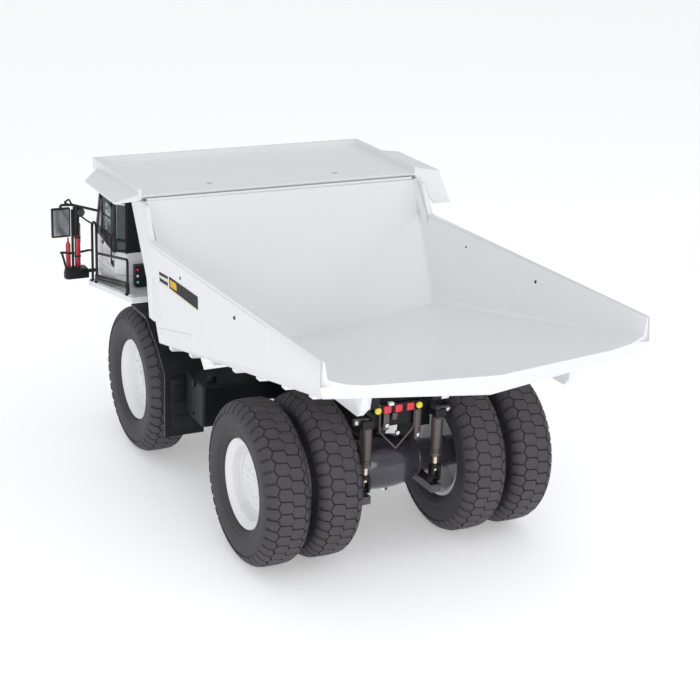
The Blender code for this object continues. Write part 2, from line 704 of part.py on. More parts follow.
def canopy():
    """The roof over the cab that runs forward from the load bed, with its raised rim and side visors."""
    rear = HEAD_TOP_Y
    front = CANOPY_FRONT_Y
    low = CANOPY_FLOOR_Z - CANOPY_PLATE
    y_all = (back(front), back(rear))
    floor = box("canopy", (-CANOPY_HALF, CANOPY_HALF), y_all, (low, CANOPY_FLOOR_Z), WHITE)
    side_low = RIM_TOP_Z - CANOPY_SIDE_DROP
    pieces = [
        box("canopy_front_rim", (-CANOPY_HALF, CANOPY_HALF), (y_all[0], y_all[0] + RIM_THICK), (side_low, RIM_TOP_Z))
    ]
    for word, side in SIDES:
        x = sorted((side * (CANOPY_HALF - RIM_THICK), side * CANOPY_HALF))
        pieces.append(box(f"canopy_rim_{word}", x, y_all, (side_low, RIM_TOP_Z)))
    inner = CANOPY_HALF - RIM_THICK / 2
    for side, out, edge_z, top in ((1, EAR_OUT, EAR_EDGE_Z, 0.1004), (-1, RIGHT_EAR_OUT, RIGHT_EAR_EDGE_Z, 0.1018)):
        corners = [
            (inner, -0.1268, side_low + 0.0008),
            (inner, -0.1268, side_low),
            (inner, rear, top),
            (inner, rear, side_low),
            (out, EAR_TIP_Y, edge_z),
            (out, rear, edge_z),
            (out, EAR_TIP_Y, edge_z - 0.0005),
            (out, rear, edge_z - 0.0006),
        ]
        name = f"canopy_visor_{'left' if side > 0 else 'right'}"
        pieces.append(hull(name, [(side * x, back(y), z) for x, y, z in corners]))
    wing = [
        (inner, 0.1012),
        (RIGHT_EAR_OUT - 0.0006, RIGHT_EAR_EDGE_Z - 0.0001),
        (RIGHT_WING_OUT, RIGHT_WING_Z),
        (RIGHT_WING_OUT - 0.0070, RIGHT_WING_Z),
        (inner + 0.0020, 0.0976),
    ]
    wing_y = (rear - 0.0012, rear)
    pieces.append(hull("canopy_wing", [(-x, back(y), z) for x, z in wing for y in wing_y]))
    join(floor, *pieces)
    pivot_at(floor, BED_PIVOT)


def bed_beam(word, side):
    """A beam under the bed, with its hinge plate and the lug that the hoist rod pushes."""
    beam_low = RAIL_TOP_REAR + 0.0012
    x = sorted((side * (RAIL_X - BEAM_THICK / 2), side * (RAIL_X + BEAM_THICK / 2)))
    outline = [
        (back(-0.0600), RAIL_TOP_MID + 0.0008),
        (back(BED_PIVOT_Y - 0.0100), beam_low),
        (back(BEAM_REAR_Y - 0.0050), 0.0620),
        (back(BEAM_REAR_Y), 0.0680),
        (back(-0.0600), 0.0560),
    ]
    beam = plate(f"{word}_bed_beam", outline, x, WHITE)
    hinge_in = RAIL_X + RAIL_WIDTH / 2 + GAP
    hinge_x = sorted((side * hinge_in, side * (hinge_in + HINGE_PLATE_WIDTH)))
    hinge = [
        (back(BED_PIVOT_Y - 0.0030), BED_PIVOT_Z - 0.0020),
        (back(BED_PIVOT_Y), BED_PIVOT_Z - 0.0032),
        (back(BED_PIVOT_Y + 0.0030), BED_PIVOT_Z - 0.0020),
        (back(BED_PIVOT_Y + 0.0060), 0.0700),
        (back(BED_PIVOT_Y - 0.0090), 0.0700),
    ]
    hinge_plate = plate(f"{word}_hinge_plate", hinge, hinge_x)
    web_x = sorted((side * RAIL_X, side * (hinge_in + HINGE_PLATE_WIDTH / 2)))
    web_y = (back(BED_PIVOT_Y - 0.0070), back(BED_PIVOT_Y + 0.0040))
    web = box(f"{word}_hinge_web", web_x, web_y, (BED_PIVOT_Z + 0.0050, 0.0700))
    lug = [
        (back(HOIST_HEAD_Y - 0.0022), HOIST_HEAD_Z - 0.0014),
        (back(HOIST_HEAD_Y + 0.0022), HOIST_HEAD_Z - 0.0014),
        (back(HOIST_HEAD_Y + 0.0050), 0.0640),
        (back(HOIST_HEAD_Y - 0.0050), 0.0640),
    ]
    lug_x = sorted((side * (RAIL_X - 0.0008), side * (RAIL_X + 0.0018)))
    lug_plate = plate(f"{word}_hoist_lug", lug, lug_x)
    pin_start = (side * RAIL_X, back(HOIST_HEAD_Y), HOIST_HEAD_Z)
    pin_tip = (side * (HOIST_X - HOIST_BARREL_RADIUS * 0.8 - GAP), back(HOIST_HEAD_Y), HOIST_HEAD_Z)
    pin = rod(f"{word}_hoist_head_pin", pin_start, pin_tip, 0.0009, sides=10)
    join(beam, hinge_plate, web, lug_plate, pin)
    bore_ends = (side * (hinge_in - 0.0012), side * (HOIST_X + 0.0060))
    centre = (back(BED_PIVOT_Y), BED_PIVOT_Z)
    bore = rod(f"{word}_bed_bore", (bore_ends[0], *centre), (bore_ends[1], *centre), BED_PIN_RADIUS + PLAY)
    cut(beam, bed_outside(f"{word}_bed_underside", drop=GAP), bore)
    pivot_at(beam, BED_PIVOT)


def hoist(word, side):
    """A hoist cylinder: the barrel swings on its foot pin and the rod slides in it."""
    x = side * HOIST_X
    foot = Vector((x, back(HOIST_FOOT_Y), HOIST_FOOT_Z))
    head = Vector((x, back(HOIST_HEAD_Y), HOIST_HEAD_Z))
    way = (head - foot).normalized()
    half = HOIST_BARREL_RADIUS * 0.8
    barrel = rod(f"{word}_hoist_barrel", foot, foot + way * HOIST_BARREL_LENGTH, HOIST_BARREL_RADIUS, DARK_METAL)
    eye = rod(f"{word}_barrel_eye", foot - Vector((half, 0, 0)), foot + Vector((half, 0, 0)), 0.0020)
    join(barrel, eye)
    slot = rod(f"{word}_barrel_bore", foot + way * 0.0026, foot + way * (HOIST_BARREL_LENGTH + 0.0020), HOIST_ROD_RADIUS + PLAY)
    pin = rod(f"{word}_foot_bore", foot - Vector((0.0040, 0, 0)), foot + Vector((0.0040, 0, 0)), 0.0009 + PLAY, sides=10)
    cut(barrel, slot, pin)
    piston = rod(f"{word}_hoist_rod", foot + way * 0.0034, head, HOIST_ROD_RADIUS, ROD_METAL)
    rod_eye = rod(f"{word}_rod_eye", head - Vector((half, 0, 0)), head + Vector((half, 0, 0)), 0.0018)
    join(piston, rod_eye)
    pivot_at(barrel, foot)
    pivot_at(piston, head)


# ---------------------------------------------------------------- cab, deck and body pieces
def cab_plan(inset, grow=0.0):
    """Plan outline of the cab behind its front: the rear side with the cut-off corner, moved inwards."""
    chamfer = CAB_CHAMFER - inset * (2.0 - math.sqrt(2.0))
    outer = CAB_OUTER_X - inset + grow
    rear = CAB_REAR_Y - inset + grow
    inner = CAB_INNER_X + inset - grow
    return [(inner, rear), (outer - chamfer, rear), (outer, rear - chamfer)], (inner, outer)


def cab():
    front_top = CAB_FRONT_Y + CAB_LEAN

    def block(name, inset, low, top, finish=None):
        rear, sides = cab_plan(inset)
        corners = [(x, back(y), z) for x, y in rear for z in (low, top)]
        for x in sides:
            corners += [
                (x, back(CAB_FRONT_Y + inset), low),
                (x, back(CAB_FRONT_Y + inset), CAB_BELT_Z - 0.0040),
                (x, back(front_top + inset), top),
            ]
        return hull(name, corners, finish)

    shell = block("cab_shell", 0.0, CAB_FLOOR_Z, CAB_TOP_Z, WHITE)
    inside = block("cab_inside", CAB_WALL, CAB_FLOOR_Z + CAB_WALL, CAB_TOP_Z + 0.0040)
    post = CAB_POST
    window_z = (CAB_BELT_Z, CAB_TOP_Z - 0.0018)
    pane_z = (window_z[0] + GAP, window_z[1] - GAP)
    side_front = CAB_FRONT_Y + CAB_LEAN + post
    screen_x = (CAB_INNER_X + post, CAB_OUTER_X - post)
    rear_x = (CAB_INNER_X + post, REAR_WINDOW_OUT_X)
    right_y = (back(side_front), back(CAB_REAR_Y - post))
    corner = Vector((CAB_OUTER_X - CAB_CHAMFER / 2, back(CAB_REAR_Y - CAB_CHAMFER / 2), 0.0))
    along_corner = Vector((-1.0, 1.0, 0.0)).normalized()
    out_of_corner = Vector((1.0, 1.0, 0.0)).normalized()
    corner_half = CAB_CHAMFER / math.sqrt(2.0) - 0.0007

    def corner_pane(name, half, depths, z, finish=None):
        points = []
        for share in (-half, half):
            for depth in depths:
                foot = corner + along_corner * share - out_of_corner * depth
                points += [(foot.x, foot.y, height) for height in z]
        return hull(name, points, finish)

    door_low = CAB_FLOOR_Z + 0.0020
    door_y = (back(side_front - 0.0010), back(DOOR_REAR_Y))
    door_z = (door_low, window_z[1] + 0.0006)
    through_x = (CAB_OUTER_X - 0.0025, CAB_OUTER_X + 0.0050)
    openings = [
        box("screen_opening", screen_x, (back(CAB_FRONT_Y - 0.0100), back(CAB_FRONT_Y + 0.0090)), window_z),
        box("rear_opening", rear_x, (back(CAB_REAR_Y - 0.0025), back(CAB_REAR_Y + 0.0060)), window_z),
        box("right_opening", (CAB_INNER_X - 0.0050, CAB_INNER_X + 0.0025), right_y, window_z),
        corner_pane("quarter_opening", corner_half, (-0.0040, CAB_WALL + 0.0008), window_z),
        box("doorway", through_x, door_y, door_z),
    ]
    cut(shell, inside, *openings)
    door = box(
        "cab_door",
        (CAB_OUTER_X - CAB_WALL, CAB_OUTER_X),
        (door_y[0] + GAP, door_y[1] - GAP),
        (door_z[0] + GAP, door_z[1] - GAP),
        WHITE,
    )
    door_pane_y = (door_y[0] + 0.0018, door_y[1] - 0.0018)
    door_pane_z = (window_z[0], window_z[1] - 0.0010)
    cut(door, box("door_opening", through_x, door_pane_y, door_pane_z))

    def pane(name, x, y, z):
        box(name, (x[0] + GAP, x[1] - GAP), (y[0] + GAP, y[1] - GAP), (z[0] + GAP, z[1] - GAP), CLEAR)

    thick = GLASS / 2 + GAP
    left_x = CAB_OUTER_X - CAB_WALL / 2
    right_x = CAB_INNER_X + CAB_WALL / 2
    rear_y = back(CAB_REAR_Y) - CAB_WALL / 2
    pane("door_glass", (left_x - thick, left_x + thick), door_pane_y, door_pane_z)
    pane("right_cab_glass", (right_x - thick, right_x + thick), right_y, window_z)
    pane("rear_glass", rear_x, (rear_y - thick, rear_y + thick), window_z)
    middle = CAB_WALL / 2
    corner_pane("quarter_glass", corner_half - GAP, (middle - GLASS / 2, middle + GLASS / 2), pane_z, CLEAR)
    run = CAB_TOP_Z - (CAB_BELT_Z - 0.0040)
    screen = []
    for z in pane_z:
        y = back(CAB_FRONT_Y + CAB_LEAN * (z - CAB_BELT_Z + 0.0040) / run)
        for shift in (CAB_WALL / 2 - GLASS / 2, CAB_WALL / 2 + GLASS / 2):
            screen += [(x, y + shift, z) for x in (screen_x[0] + GAP, screen_x[1] - GAP)]
    hull("windscreen", screen, CLEAR)
    roof_z = CAB_TOP_Z + GAP
    roof_rear, roof_sides = cab_plan(0.0, 0.0005)
    roof_plan = roof_rear + [(x, front_top - 0.0012) for x in roof_sides]
    roof = hull("cab_roof", [(x, back(y), z) for x, y in roof_plan for z in (roof_z, roof_z + ROOF_THICK)], WHITE)
    bevel = roof.modifiers.new("edge", "BEVEL")
    bevel.width = 0.0006
    bevel.segments = 2
    seat_x = (CAB_INNER_X + CAB_OUTER_X) / 2
    seat_y = back((CAB_FRONT_Y + CAB_REAR_Y) / 2 + 0.0010)
    base = CAB_FLOOR_Z + CAB_WALL + GAP
    seat = box("cab_seat", (seat_x - 0.0040, seat_x + 0.0040), (seat_y - 0.0040, seat_y + 0.0040), (base, base + 0.0070), BLACK)
    rest = hull(
        "cab_seat_back",
        [
            (seat_x + dx, seat_y + dy, base + z)
            for dx in (-0.0038, 0.0038)
            for dy, z in ((0.0022, 0.0050), (0.0038, 0.0050), (0.0040, 0.0180), (0.0056, 0.0180))
        ],
    )
    join(seat, rest)


def deck_height(y):
    """Top of the front deck at a place given from the rear axle. It rises towards the bed."""
    share = (y - DECK_FRONT_Y) / (DECK_REAR_Y - DECK_FRONT_Y)
    return DECK_FRONT_Z + (DECK_REAR_Z - DECK_FRONT_Z) * share


def deck():
    """The deck over the front wheels that carries the cab, with a level seat for the cab."""
    points = []
    for y in (DECK_FRONT_Y, DECK_REAR_Y):
        for x in (-DECK_HALF, DECK_HALF):
            points.append((x, back(y), deck_height(y)))
            points.append((x, back(y), deck_height(y) - DECK_THICK))
    slab = hull("front_deck", points, WHITE)
    seat_top = CAB_FLOOR_Z - GAP
    riser_points = []
    rear, sides = cab_plan(0.0)
    for x, y in rear + [(x, CAB_FRONT_Y) for x in sides]:
        riser_points.append((x, back(y), deck_height(y) - DECK_THICK / 2))
        riser_points.append((x, back(y), seat_top))
    riser = hull("cab_riser", riser_points)
    legs = []
    for word, side in SIDES:
        x = sorted((side * (RAIL_X - 0.0010), side * (RAIL_X + 0.0030)))
        for name, y in (("front", -0.1260), ("rear", -0.0880)):
            leg_z = (RAIL_TOP_FRONT + 0.0014, deck_height(y) - DECK_THICK / 2)
            legs.append(box(f"deck_leg_{name}_{word}", x, (back(y - 0.0020), back(y + 0.0020)), leg_z))
    join(slab, riser, *legs)


def fender(word, side):
    """The guard over and behind a front wheel, which ends in a hanging flap."""
    y0 = FRONT_AXLE_Y
    line = [(0.0000, 0.0570), (0.0140, 0.0556), (0.0262, 0.0474), (0.0332, 0.0400), (0.0332, FLAP_BOTTOM_Z)]
    pieces = []
    for index, (first, second) in enumerate(zip(line, line[1:])):
        corners = [
            (side * x, y0 + dy + shift, z)
            for x in (FENDER_INNER_X, FENDER_OUTER_X)
            for dy, z in (first, second)
            for shift in (0.0, FENDER_PLATE)
        ]
        if index == 0:
            corners = [
                (side * x, y0 + dy, z + lift)
                for x in (FENDER_INNER_X, FENDER_OUTER_X)
                for dy, z in ((0.0, 0.0555), (0.0150, 0.0555))
                for lift in (-FENDER_PLATE, 0.0)
            ]
        name = f"{word}_fender" if index == 0 else f"{word}_fender_{index}"
        pieces.append(hull(name, corners, BLACK if index == 0 else None))
    brace_x = sorted((side * (TANK_INNER_X - 0.0060), side * (FENDER_INNER_X + 0.0010)))
    brace_y = (y0 + 0.0332 + FENDER_PLATE * 0.1, y0 + 0.0332 + FENDER_PLATE * 0.9)
    pieces.append(box(f"{word}_fender_brace", brace_x, brace_y, (0.0300, 0.0360)))
    join(*pieces)


def bumper():
    y = (back(BUMPER_FRONT_Y), back(BUMPER_FRONT_Y) + BUMPER_THICK)
    bar = box("front_bumper", (-BUMPER_HALF, BUMPER_HALF), y, (BUMPER_BOTTOM_Z, BUMPER_TOP_Z), WHITE)
    mounts = []
    for word, side in SIDES:
        x = sorted((side * (RAIL_X - 0.0015), side * (RAIL_X + 0.0015)))
        mounts.append(box(f"bumper_arm_{word}", x, (y[1] - 0.0005, back(FRAME_FRONT) - GAP), (0.0292, 0.0308)))
    join(bar, *mounts)


def grille():
    """The radiator box between the bumper and the deck."""
    top = deck_height(DECK_FRONT_Y) - DECK_THICK - GAP
    body = box(
        "radiator_grille",
        (-GRILLE_HALF - 0.0030, GRILLE_HALF + 0.0030),
        (back(BUMPER_FRONT_Y) + 0.0006, back(FRAME_FRONT) - GAP),
        (BUMPER_TOP_Z + GAP, top),
        BLACK,
    )
    slots = []
    for index in range(5):
        z = BUMPER_TOP_Z + 0.0032 + index * 0.0036
        front = back(BUMPER_FRONT_Y) - 0.0010
        slots.append(box(f"grille_slot_{index}", (-GRILLE_HALF, GRILLE_HALF), (front, front + 0.0026), (z, z + 0.0020)))
    cut(body, *slots)


def ladder(word, side):
    """A ladder from the bumper up to the deck's front corner."""
    centre = side * LADDER_X
    half = LADDER_HALF
    front = back(BUMPER_FRONT_Y)
    low = (front, BUMPER_TOP_Z + 0.0004)
    top = (back(DECK_FRONT_Y) - 0.0012, DECK_FRONT_Z - 0.0002)
    width = 0.0009
    stiles = []
    for index, x in enumerate((centre - half, centre + half)):
        corners = [
            (x + dx, y + dy, z)
            for dx in (-width / 2, width / 2)
            for y, z in (low, top)
            for dy in (0.0, width)
        ]
        name = f"{word}_ladder" if index == 0 else f"{word}_ladder_stile"
        stiles.append(hull(name, corners, BLACK if index == 0 else None))
    rungs = []
    count = 5
    for index in range(count):
        y, z = along(low, top, (index + 0.5) / count)
        depth = (y + width * 0.2, y + width * 0.8)
        rungs.append(box(f"{word}_rung_{index}", (centre - half, centre + half), depth, (z, z + width)))
    join(*stiles, *rungs)


def tank(name, side, finish):
    x = sorted((side * TANK_INNER_X, side * TANK_OUTER_X))
    body = box(name, x, (back(TANK_FRONT_Y), back(TANK_REAR_Y)), (TANK_BOTTOM_Z, TANK_TOP_Z), finish)
    bevel = body.modifiers.new("edge", "BEVEL")
    bevel.width = 0.0010
    bevel.segments = 2
    arm_x = sorted((side * (RAIL_X + RAIL_WIDTH / 2 + GAP), side * (TANK_INNER_X + 0.0010)))
    arm = box(f"{name}_arm", arm_x, (back(-0.0570), back(-0.0510)), (0.0320, 0.0380))
    cap = rod(f"{name}_cap", (side * 0.0390, back(-0.0500), TANK_TOP_Z - 0.0010), (side * 0.0390, back(-0.0500), TANK_TOP_Z + 0.0022), 0.0016)
    join(body, arm, cap)


def light_bar():
    y = back(FRAME_REAR) + GAP
    box("rear_light_bar", (-0.0086, 0.0086), (y, y + 0.0014), (0.0475, 0.0505), LAMP_RED)


def service_box():
    """The small box on the cab's rear wall that carries three lamps."""
    y = (back(CAB_REAR_Y) + GAP, back(CAB_REAR_Y) + 0.0026)
    z = deck_height(CAB_REAR_Y + 0.0026) + 2 * GAP
    box("service_box", (0.0405, 0.0465), y, (z, 0.0675), BLACK)


def knot(name, centre, radius):
    bm = bmesh.new()
    bmesh.ops.create_icosphere(bm, subdivisions=2, radius=radius)
    askew = Matrix.Rotation(KNOT_TURN, 4, Vector(KNOT_AXIS))
    bmesh.ops.transform(bm, matrix=Matrix.Translation(centre) @ askew, verts=bm.verts)
    return place(bm, name)


def tube_path(name, points, radius, finish=None, sides=8):
    """A bent tube: straight rods that meet in small round knots."""
    pieces = []
    for index, (first, second) in enumerate(zip(points, points[1:])):
        part_name = name if index == 0 else f"{name}_{index}"
        rod_radius = radius * (1.0 - 0.04 * (index % 2))
        pieces.append(rod(part_name, first, second, rod_radius, finish if index == 0 else None, sides))
        if index:
            pieces.append(knot(f"{name}_knot_{index}", first, radius * 1.3))
    return pieces


def left_handrail():
    """The rail beside the cab door, with its two tall front posts."""
    r = HANDRAIL_RADIUS

    def at(y, rise):
        return (HANDRAIL_X, back(y), deck_height(y) + rise)

    foot = GAP
    posts = [at(-0.1310, foot), at(-0.1310, 0.0215), at(-0.1286, 0.0228), at(-0.1262, 0.0215), at(-0.1262, foot)]
    pieces = tube_path("left_handrail", posts, r, BLACK)
    pieces += tube_path("left_handrail_mid", [at(-0.1262, 0.0114), at(-0.0920, 0.0130), at(-0.0920, foot)], r * 0.88)
    pieces += tube_path("left_handrail_low", [at(-0.1262, 0.0018), at(-0.0920, 0.0034)], r * 0.76)
    join(pieces[0], *pieces[1:])


def right_handrail():
    """The rail along the front and side of the right deck."""
    r = 0.0005
    x = -0.0530

    def at(px, y, rise):
        return (px, back(y), deck_height(y) + rise)

    corner = -0.1335
    pieces = tube_path(
        "right_handrail",
        [at(-0.0380, corner, GAP), at(-0.0380, corner, 0.0160), at(x, corner, 0.0160), at(x, -0.0900, 0.0160), at(x, -0.0900, GAP)],
        r,
        BLACK,
    )
    pieces += tube_path("right_handrail_mid", [at(-0.0380, corner, 0.0080), at(x, corner, 0.0080), at(x, -0.0900, 0.0080)], r * 0.84)
    pieces += tube_path("right_handrail_post", [at(x, corner, GAP), at(x, corner, 0.0160)], r * 0.92)
    pieces += tube_path("right_handrail_post2", [at(x, -0.1120, GAP), at(x, -0.1120, 0.0160)], r * 0.92)
    join(pieces[0], *pieces[1:])


def corner_step():
    """The step at the deck's front left corner, with its post and the low guard hoop around it."""
    x = (0.0550, 0.0642)
    y = (back(-0.1370), back(-0.1312))
    tray = box("corner_step", x, y, (0.0562, STEP_TOP_Z), BLACK)
    bevel = tray.modifiers.new("edge", "BEVEL")
    bevel.width = 0.0012
    bevel.segments = 2
    arm = box("corner_step_arm", (0.0470, 0.0560), (back(-0.1362), back(-0.1350)), (0.0572, 0.0584))
    foot = box("corner_step_foot", (0.0470, 0.0482), (back(-0.1362), back(DECK_FRONT_Y) + 0.0006), (DECK_FRONT_Z + 2 * GAP, 0.0584))
    post = rod("corner_step_post", (POST_X, back(MIRROR_Y), 0.0585), (POST_X, back(MIRROR_Y), MIRROR_TOP_Z - 0.0010), ARM_RADIUS)
    hoop = tube_path(
        "corner_hoop",
        [
            (0.0634, back(-0.1324), STEP_TOP_Z - 0.0008),
            (0.0650, back(-0.1328), 0.0662),
            (0.0645, back(-0.1366), 0.0656),
            (0.0570, back(-0.1366), 0.0662),
            (0.0562, back(-0.1356), STEP_TOP_Z - 0.0008),
        ],
        ARM_RADIUS * 0.8,
    )
    join(tray, arm, foot, post, *hoop)


def extinguishers():
    """Two red bottles on the step, one each side of the post, with the strap that holds them."""
    y = back(MIRROR_Y) - 0.0002
    z = STEP_TOP_Z + GAP
    low = MIRROR_LOW_Z - 2 * GAP
    bottles = rod("extinguishers", (POST_X - 0.0019, y, z), (POST_X - 0.0019, y, 0.0778), 0.0011, RED)
    second = rod("extinguisher_two", (POST_X + 0.0017, y, z), (POST_X + 0.0017, y, low), 0.0009)
    strap = box("extinguisher_strap", (POST_X - 0.0019, POST_X + 0.0017), (y - 0.0010, y - 0.0006), (0.0684, 0.0692))
    join(bottles, second, strap)


def mirror(word, side):
    """A wing mirror. The left one's arm runs to the cab, and the right one's stands on the deck's corner."""
    y = back(MIRROR_Y)
    name = f"{word}_mirror"
    head_y = (y - MIRROR_THICK / 2, y + MIRROR_THICK / 2)
    head = box(name, sorted((side * MIRROR_IN_X, side * MIRROR_OUT_X)), head_y, (MIRROR_LOW_Z, MIRROR_TOP_Z), BLACK)
    hanger_x = (MIRROR_IN_X + MIRROR_OUT_X) / 2
    arm = [(side * hanger_x, y, MIRROR_TOP_Z - 0.0006), (side * hanger_x, y, MIRROR_TOP_Z + 0.0012)]
    if side > 0:
        cab_end = CAB_OUTER_X + ARM_RADIUS + GAP
        arm += [(POST_X, y, MIRROR_TOP_Z + 0.0008), (cab_end, back(-0.1285), 0.0826)]
    else:
        arm += [
            (-0.0500, y - 0.0016, MIRROR_TOP_Z + 0.0010),
            (-0.0500, y - 0.0016, DECK_FRONT_Z + 0.0012),
            (-0.0500, back(DECK_FRONT_Y) - 0.0008, DECK_FRONT_Z - 0.0005),
        ]
    pieces = tube_path(f"{name}_arm", arm, ARM_RADIUS)
    if side > 0:
        hanger = along(arm[2], arm[3], 0.55)
        low = (hanger[0], hanger[1], hanger[2] - 0.0016)
        pieces.append(rod("round_mirror_stem", hanger, low, ARM_RADIUS * 0.7, sides=8))
        face = (low[0], low[1] - 0.0006, low[2] - 0.0008)
        rear = (low[0], low[1] + 0.0006, low[2] - 0.0008)
        pieces.append(rod("round_mirror", face, rear, 0.0017, sides=16))
    join(head, *pieces)


def air_cleaners():
    """Two air cleaners on the right deck with the box that feeds them."""
    y = back(-0.1180)
    z = deck_height(-0.1300) + 0.0100
    body = box("air_cleaner_box", (-0.0320, -0.0200), (y - 0.0060, y + 0.0080), (deck_height(-0.1100) + GAP, z + 0.0060), WHITE)
    ends = []
    for index, x in enumerate((-0.0290, -0.0232)):
        ends.append(rod(f"air_cleaner_{index}", (x, y - 0.0100, z + 0.0020), (x, y, z + 0.0020), 0.0026, sides=14))
    join(body, *ends)


def build():
    clear_scene()
    wheels()
    for word, side in SIDES:
        knuckle(word, side)
        front_strut(word, side)
        rear_strut(word, side)
        hoist(word, side)
        bed_beam(word, side)
        fender(word, side)
        ladder(word, side)
        mirror(word, side)
    tie_rod()
    rear_axle()
    frame()
    engine()
    load_bed()
    canopy()
    cab()
    deck()
    bumper()
    grille()
    tank("fuel_tank", 1, BLACK)
    tank("hydraulic_tank", -1, BLACK)
    light_bar()
    service_box()
    left_handrail()
    right_handrail()
    corner_step()
    extinguishers()
    air_cleaners()


build()
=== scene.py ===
# %% [markdown]
# # A 1:50 quarry dump truck
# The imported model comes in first. Its bodies and joints are fixed, and everything made below rides on them.
# The truck faces -Y, its cab side is +X and the ground is z = 0. The model is in metres. Most numbers below are
# millimetres, as on a drawing, and MM turns them into metres.

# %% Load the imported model
import math

import bmesh
import bpy
from mathutils import Matrix, Vector
from mathutils.bvhtree import BVHTree


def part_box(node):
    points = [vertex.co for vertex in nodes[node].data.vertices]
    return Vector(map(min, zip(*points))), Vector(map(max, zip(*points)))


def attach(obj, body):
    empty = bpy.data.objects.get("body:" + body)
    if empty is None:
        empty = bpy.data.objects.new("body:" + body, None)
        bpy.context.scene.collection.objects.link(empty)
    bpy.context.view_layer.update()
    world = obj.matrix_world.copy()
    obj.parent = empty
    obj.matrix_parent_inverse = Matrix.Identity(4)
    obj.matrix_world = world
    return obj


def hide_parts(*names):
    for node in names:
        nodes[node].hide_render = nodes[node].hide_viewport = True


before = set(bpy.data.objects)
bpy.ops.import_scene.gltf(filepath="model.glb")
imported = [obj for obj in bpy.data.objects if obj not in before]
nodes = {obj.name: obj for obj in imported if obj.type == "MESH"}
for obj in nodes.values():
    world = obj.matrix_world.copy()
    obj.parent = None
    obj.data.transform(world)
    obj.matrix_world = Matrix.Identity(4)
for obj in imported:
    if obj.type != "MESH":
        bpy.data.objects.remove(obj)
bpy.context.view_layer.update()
MM = 0.001
SIDES = (("left", 1), ("right", -1))


def new_object(name, data):
    made = bpy.data.objects.new(name, data)
    bpy.context.scene.collection.objects.link(made)
    return made


def new_material(name, values):
    """A material, its node tree and its Principled shader, with these shader inputs set."""
    material = bpy.data.materials.new(name)
    material.use_nodes = True
    shader = material.node_tree.nodes["Principled BSDF"]
    for key, value in values.items():
        shader.inputs[key].default_value = value
    return material, material.node_tree, shader


# %% [markdown]
# ## Camera
# The model is seen from behind its cab side, a little above the bed. A long lens at half a metre keeps the small
# model's lines nearly parallel, as in a catalogue picture. The camera's own axes are worked out from two angles,
# so each number stays readable, and a small roll is added last.

# %% Place the camera
def look_from(azimuth, elevation, roll, distance, target):
    around, above, tilt = (math.radians(angle) for angle in (azimuth, elevation, roll))
    behind = Vector((math.sin(around) * math.cos(above), -math.cos(around) * math.cos(above), math.sin(above)))
    right = (-behind).cross(Vector((0, 0, 1))).normalized()
    up = right.cross(-behind)
    turned_right = right * math.cos(tilt) + up * math.sin(tilt)
    turned_up = up * math.cos(tilt) - right * math.sin(tilt)
    place = Matrix((turned_right, turned_up, behind)).transposed().to_4x4()
    place.translation = target + behind * distance
    return place


camera_data = bpy.data.cameras.new("studio_camera")
camera_data.sensor_width = 36.0
camera_data.lens = 84.456
camera_data.clip_start = 0.01
camera = new_object("studio_camera", camera_data)
VIEW = {"azimuth": 152.699, "elevation": 19.652, "roll": 2.272, "distance": 0.476067}
TARGET = Vector((0.029921, 0.068084, 0.079922))
camera.matrix_world = look_from(target=TARGET, **VIEW)
bpy.context.scene.camera = camera
print("lens", camera_data.lens)

# %% [markdown]
# ## Studio
# A white model on a white table needs soft light from everywhere, with one broad lamp overhead so that upright
# faces come out a little greyer than level ones. The floor is a large pale sheet that also lights the underside.

# %% Floor, lamps and sky
def soft_lamp(name, place, aim, size, power, tint=(1.0, 1.0, 1.0)):
    data = bpy.data.lights.new(name, "AREA")
    data.shape = "DISK"
    data.size = size
    data.energy = power
    data.color = tint
    lamp = new_object(name, data)
    lamp.location = place
    lamp.rotation_euler = (Vector(aim) - Vector(place)).to_track_quat("-Z", "Y").to_euler()


soft_lamp("overhead", (0.05, 0.05, 0.75), (0.0, 0.0, 0.05), 0.60, 0.42)
soft_lamp("behind_tail", (0.22, 1.00, 0.26), (0.0, 0.0, 0.07), 0.60, 2.2)
soft_lamp("cab_side", (0.75, 0.45, 0.40), (0.0, 0.0, 0.05), 0.45, 0.8, (0.98, 0.98, 1.0))
soft_lamp("far_side", (-0.60, 0.30, 0.45), (0.0, 0.0, 0.05), 0.45, 0.5)
world = bpy.data.worlds.new("studio_sky")
world.use_nodes = True
sky = world.node_tree.nodes["Background"]
sky.inputs["Color"].default_value = (0.93, 0.94, 0.96, 1.0)
sky.inputs["Strength"].default_value = 0.70
bpy.context.scene.world = world
bpy.context.scene.view_settings.view_transform = "Standard"

floor_shape = bmesh.new()
bmesh.ops.create_grid(floor_shape, x_segments=1, y_segments=1, size=30.0)
bmesh.ops.translate(floor_shape, vec=(0, 0, -0.0002), verts=floor_shape.verts)
floor_mesh = bpy.data.meshes.new("studio_floor")
floor_shape.to_mesh(floor_mesh)
floor_shape.free()
studio_floor = new_object("studio_floor", floor_mesh)
FLOOR_LOOK = {
    "Base Color": (0.94, 0.94, 0.945, 1.0), "Emission Color": (1.0, 1.0, 1.0, 1.0), "Emission Strength": 0.30,
    "Roughness": 0.7
}
floor_mesh.materials.append(new_material("floor_paint", FLOOR_LOOK)[0])
print("floor and lamps ready")

# %% [markdown]
# ## Surface effects shared by the finishes
# Real moulded and sprayed surfaces are never one flat value. One node group makes a cloudy tone change, a fine
# speckle and a grain height from Object coordinates. Each finish gives it its own two colours, sizes and gloss,
# so the effect is written once and every piece shows it at the right scale.

# %% Node group: cloudy tone, speckle and grain
def add_node(tree, kind, values=None, **settings):
    node = tree.nodes.new(kind)
    for key, value in settings.items():
        setattr(node, key, value)
    for key, value in (values or {}).items():
        node.inputs[key].default_value = value
    return node


def join(tree, *wires):
    for source, output, target, into in wires:
        tree.links.new(source.outputs[output], target.inputs[into])


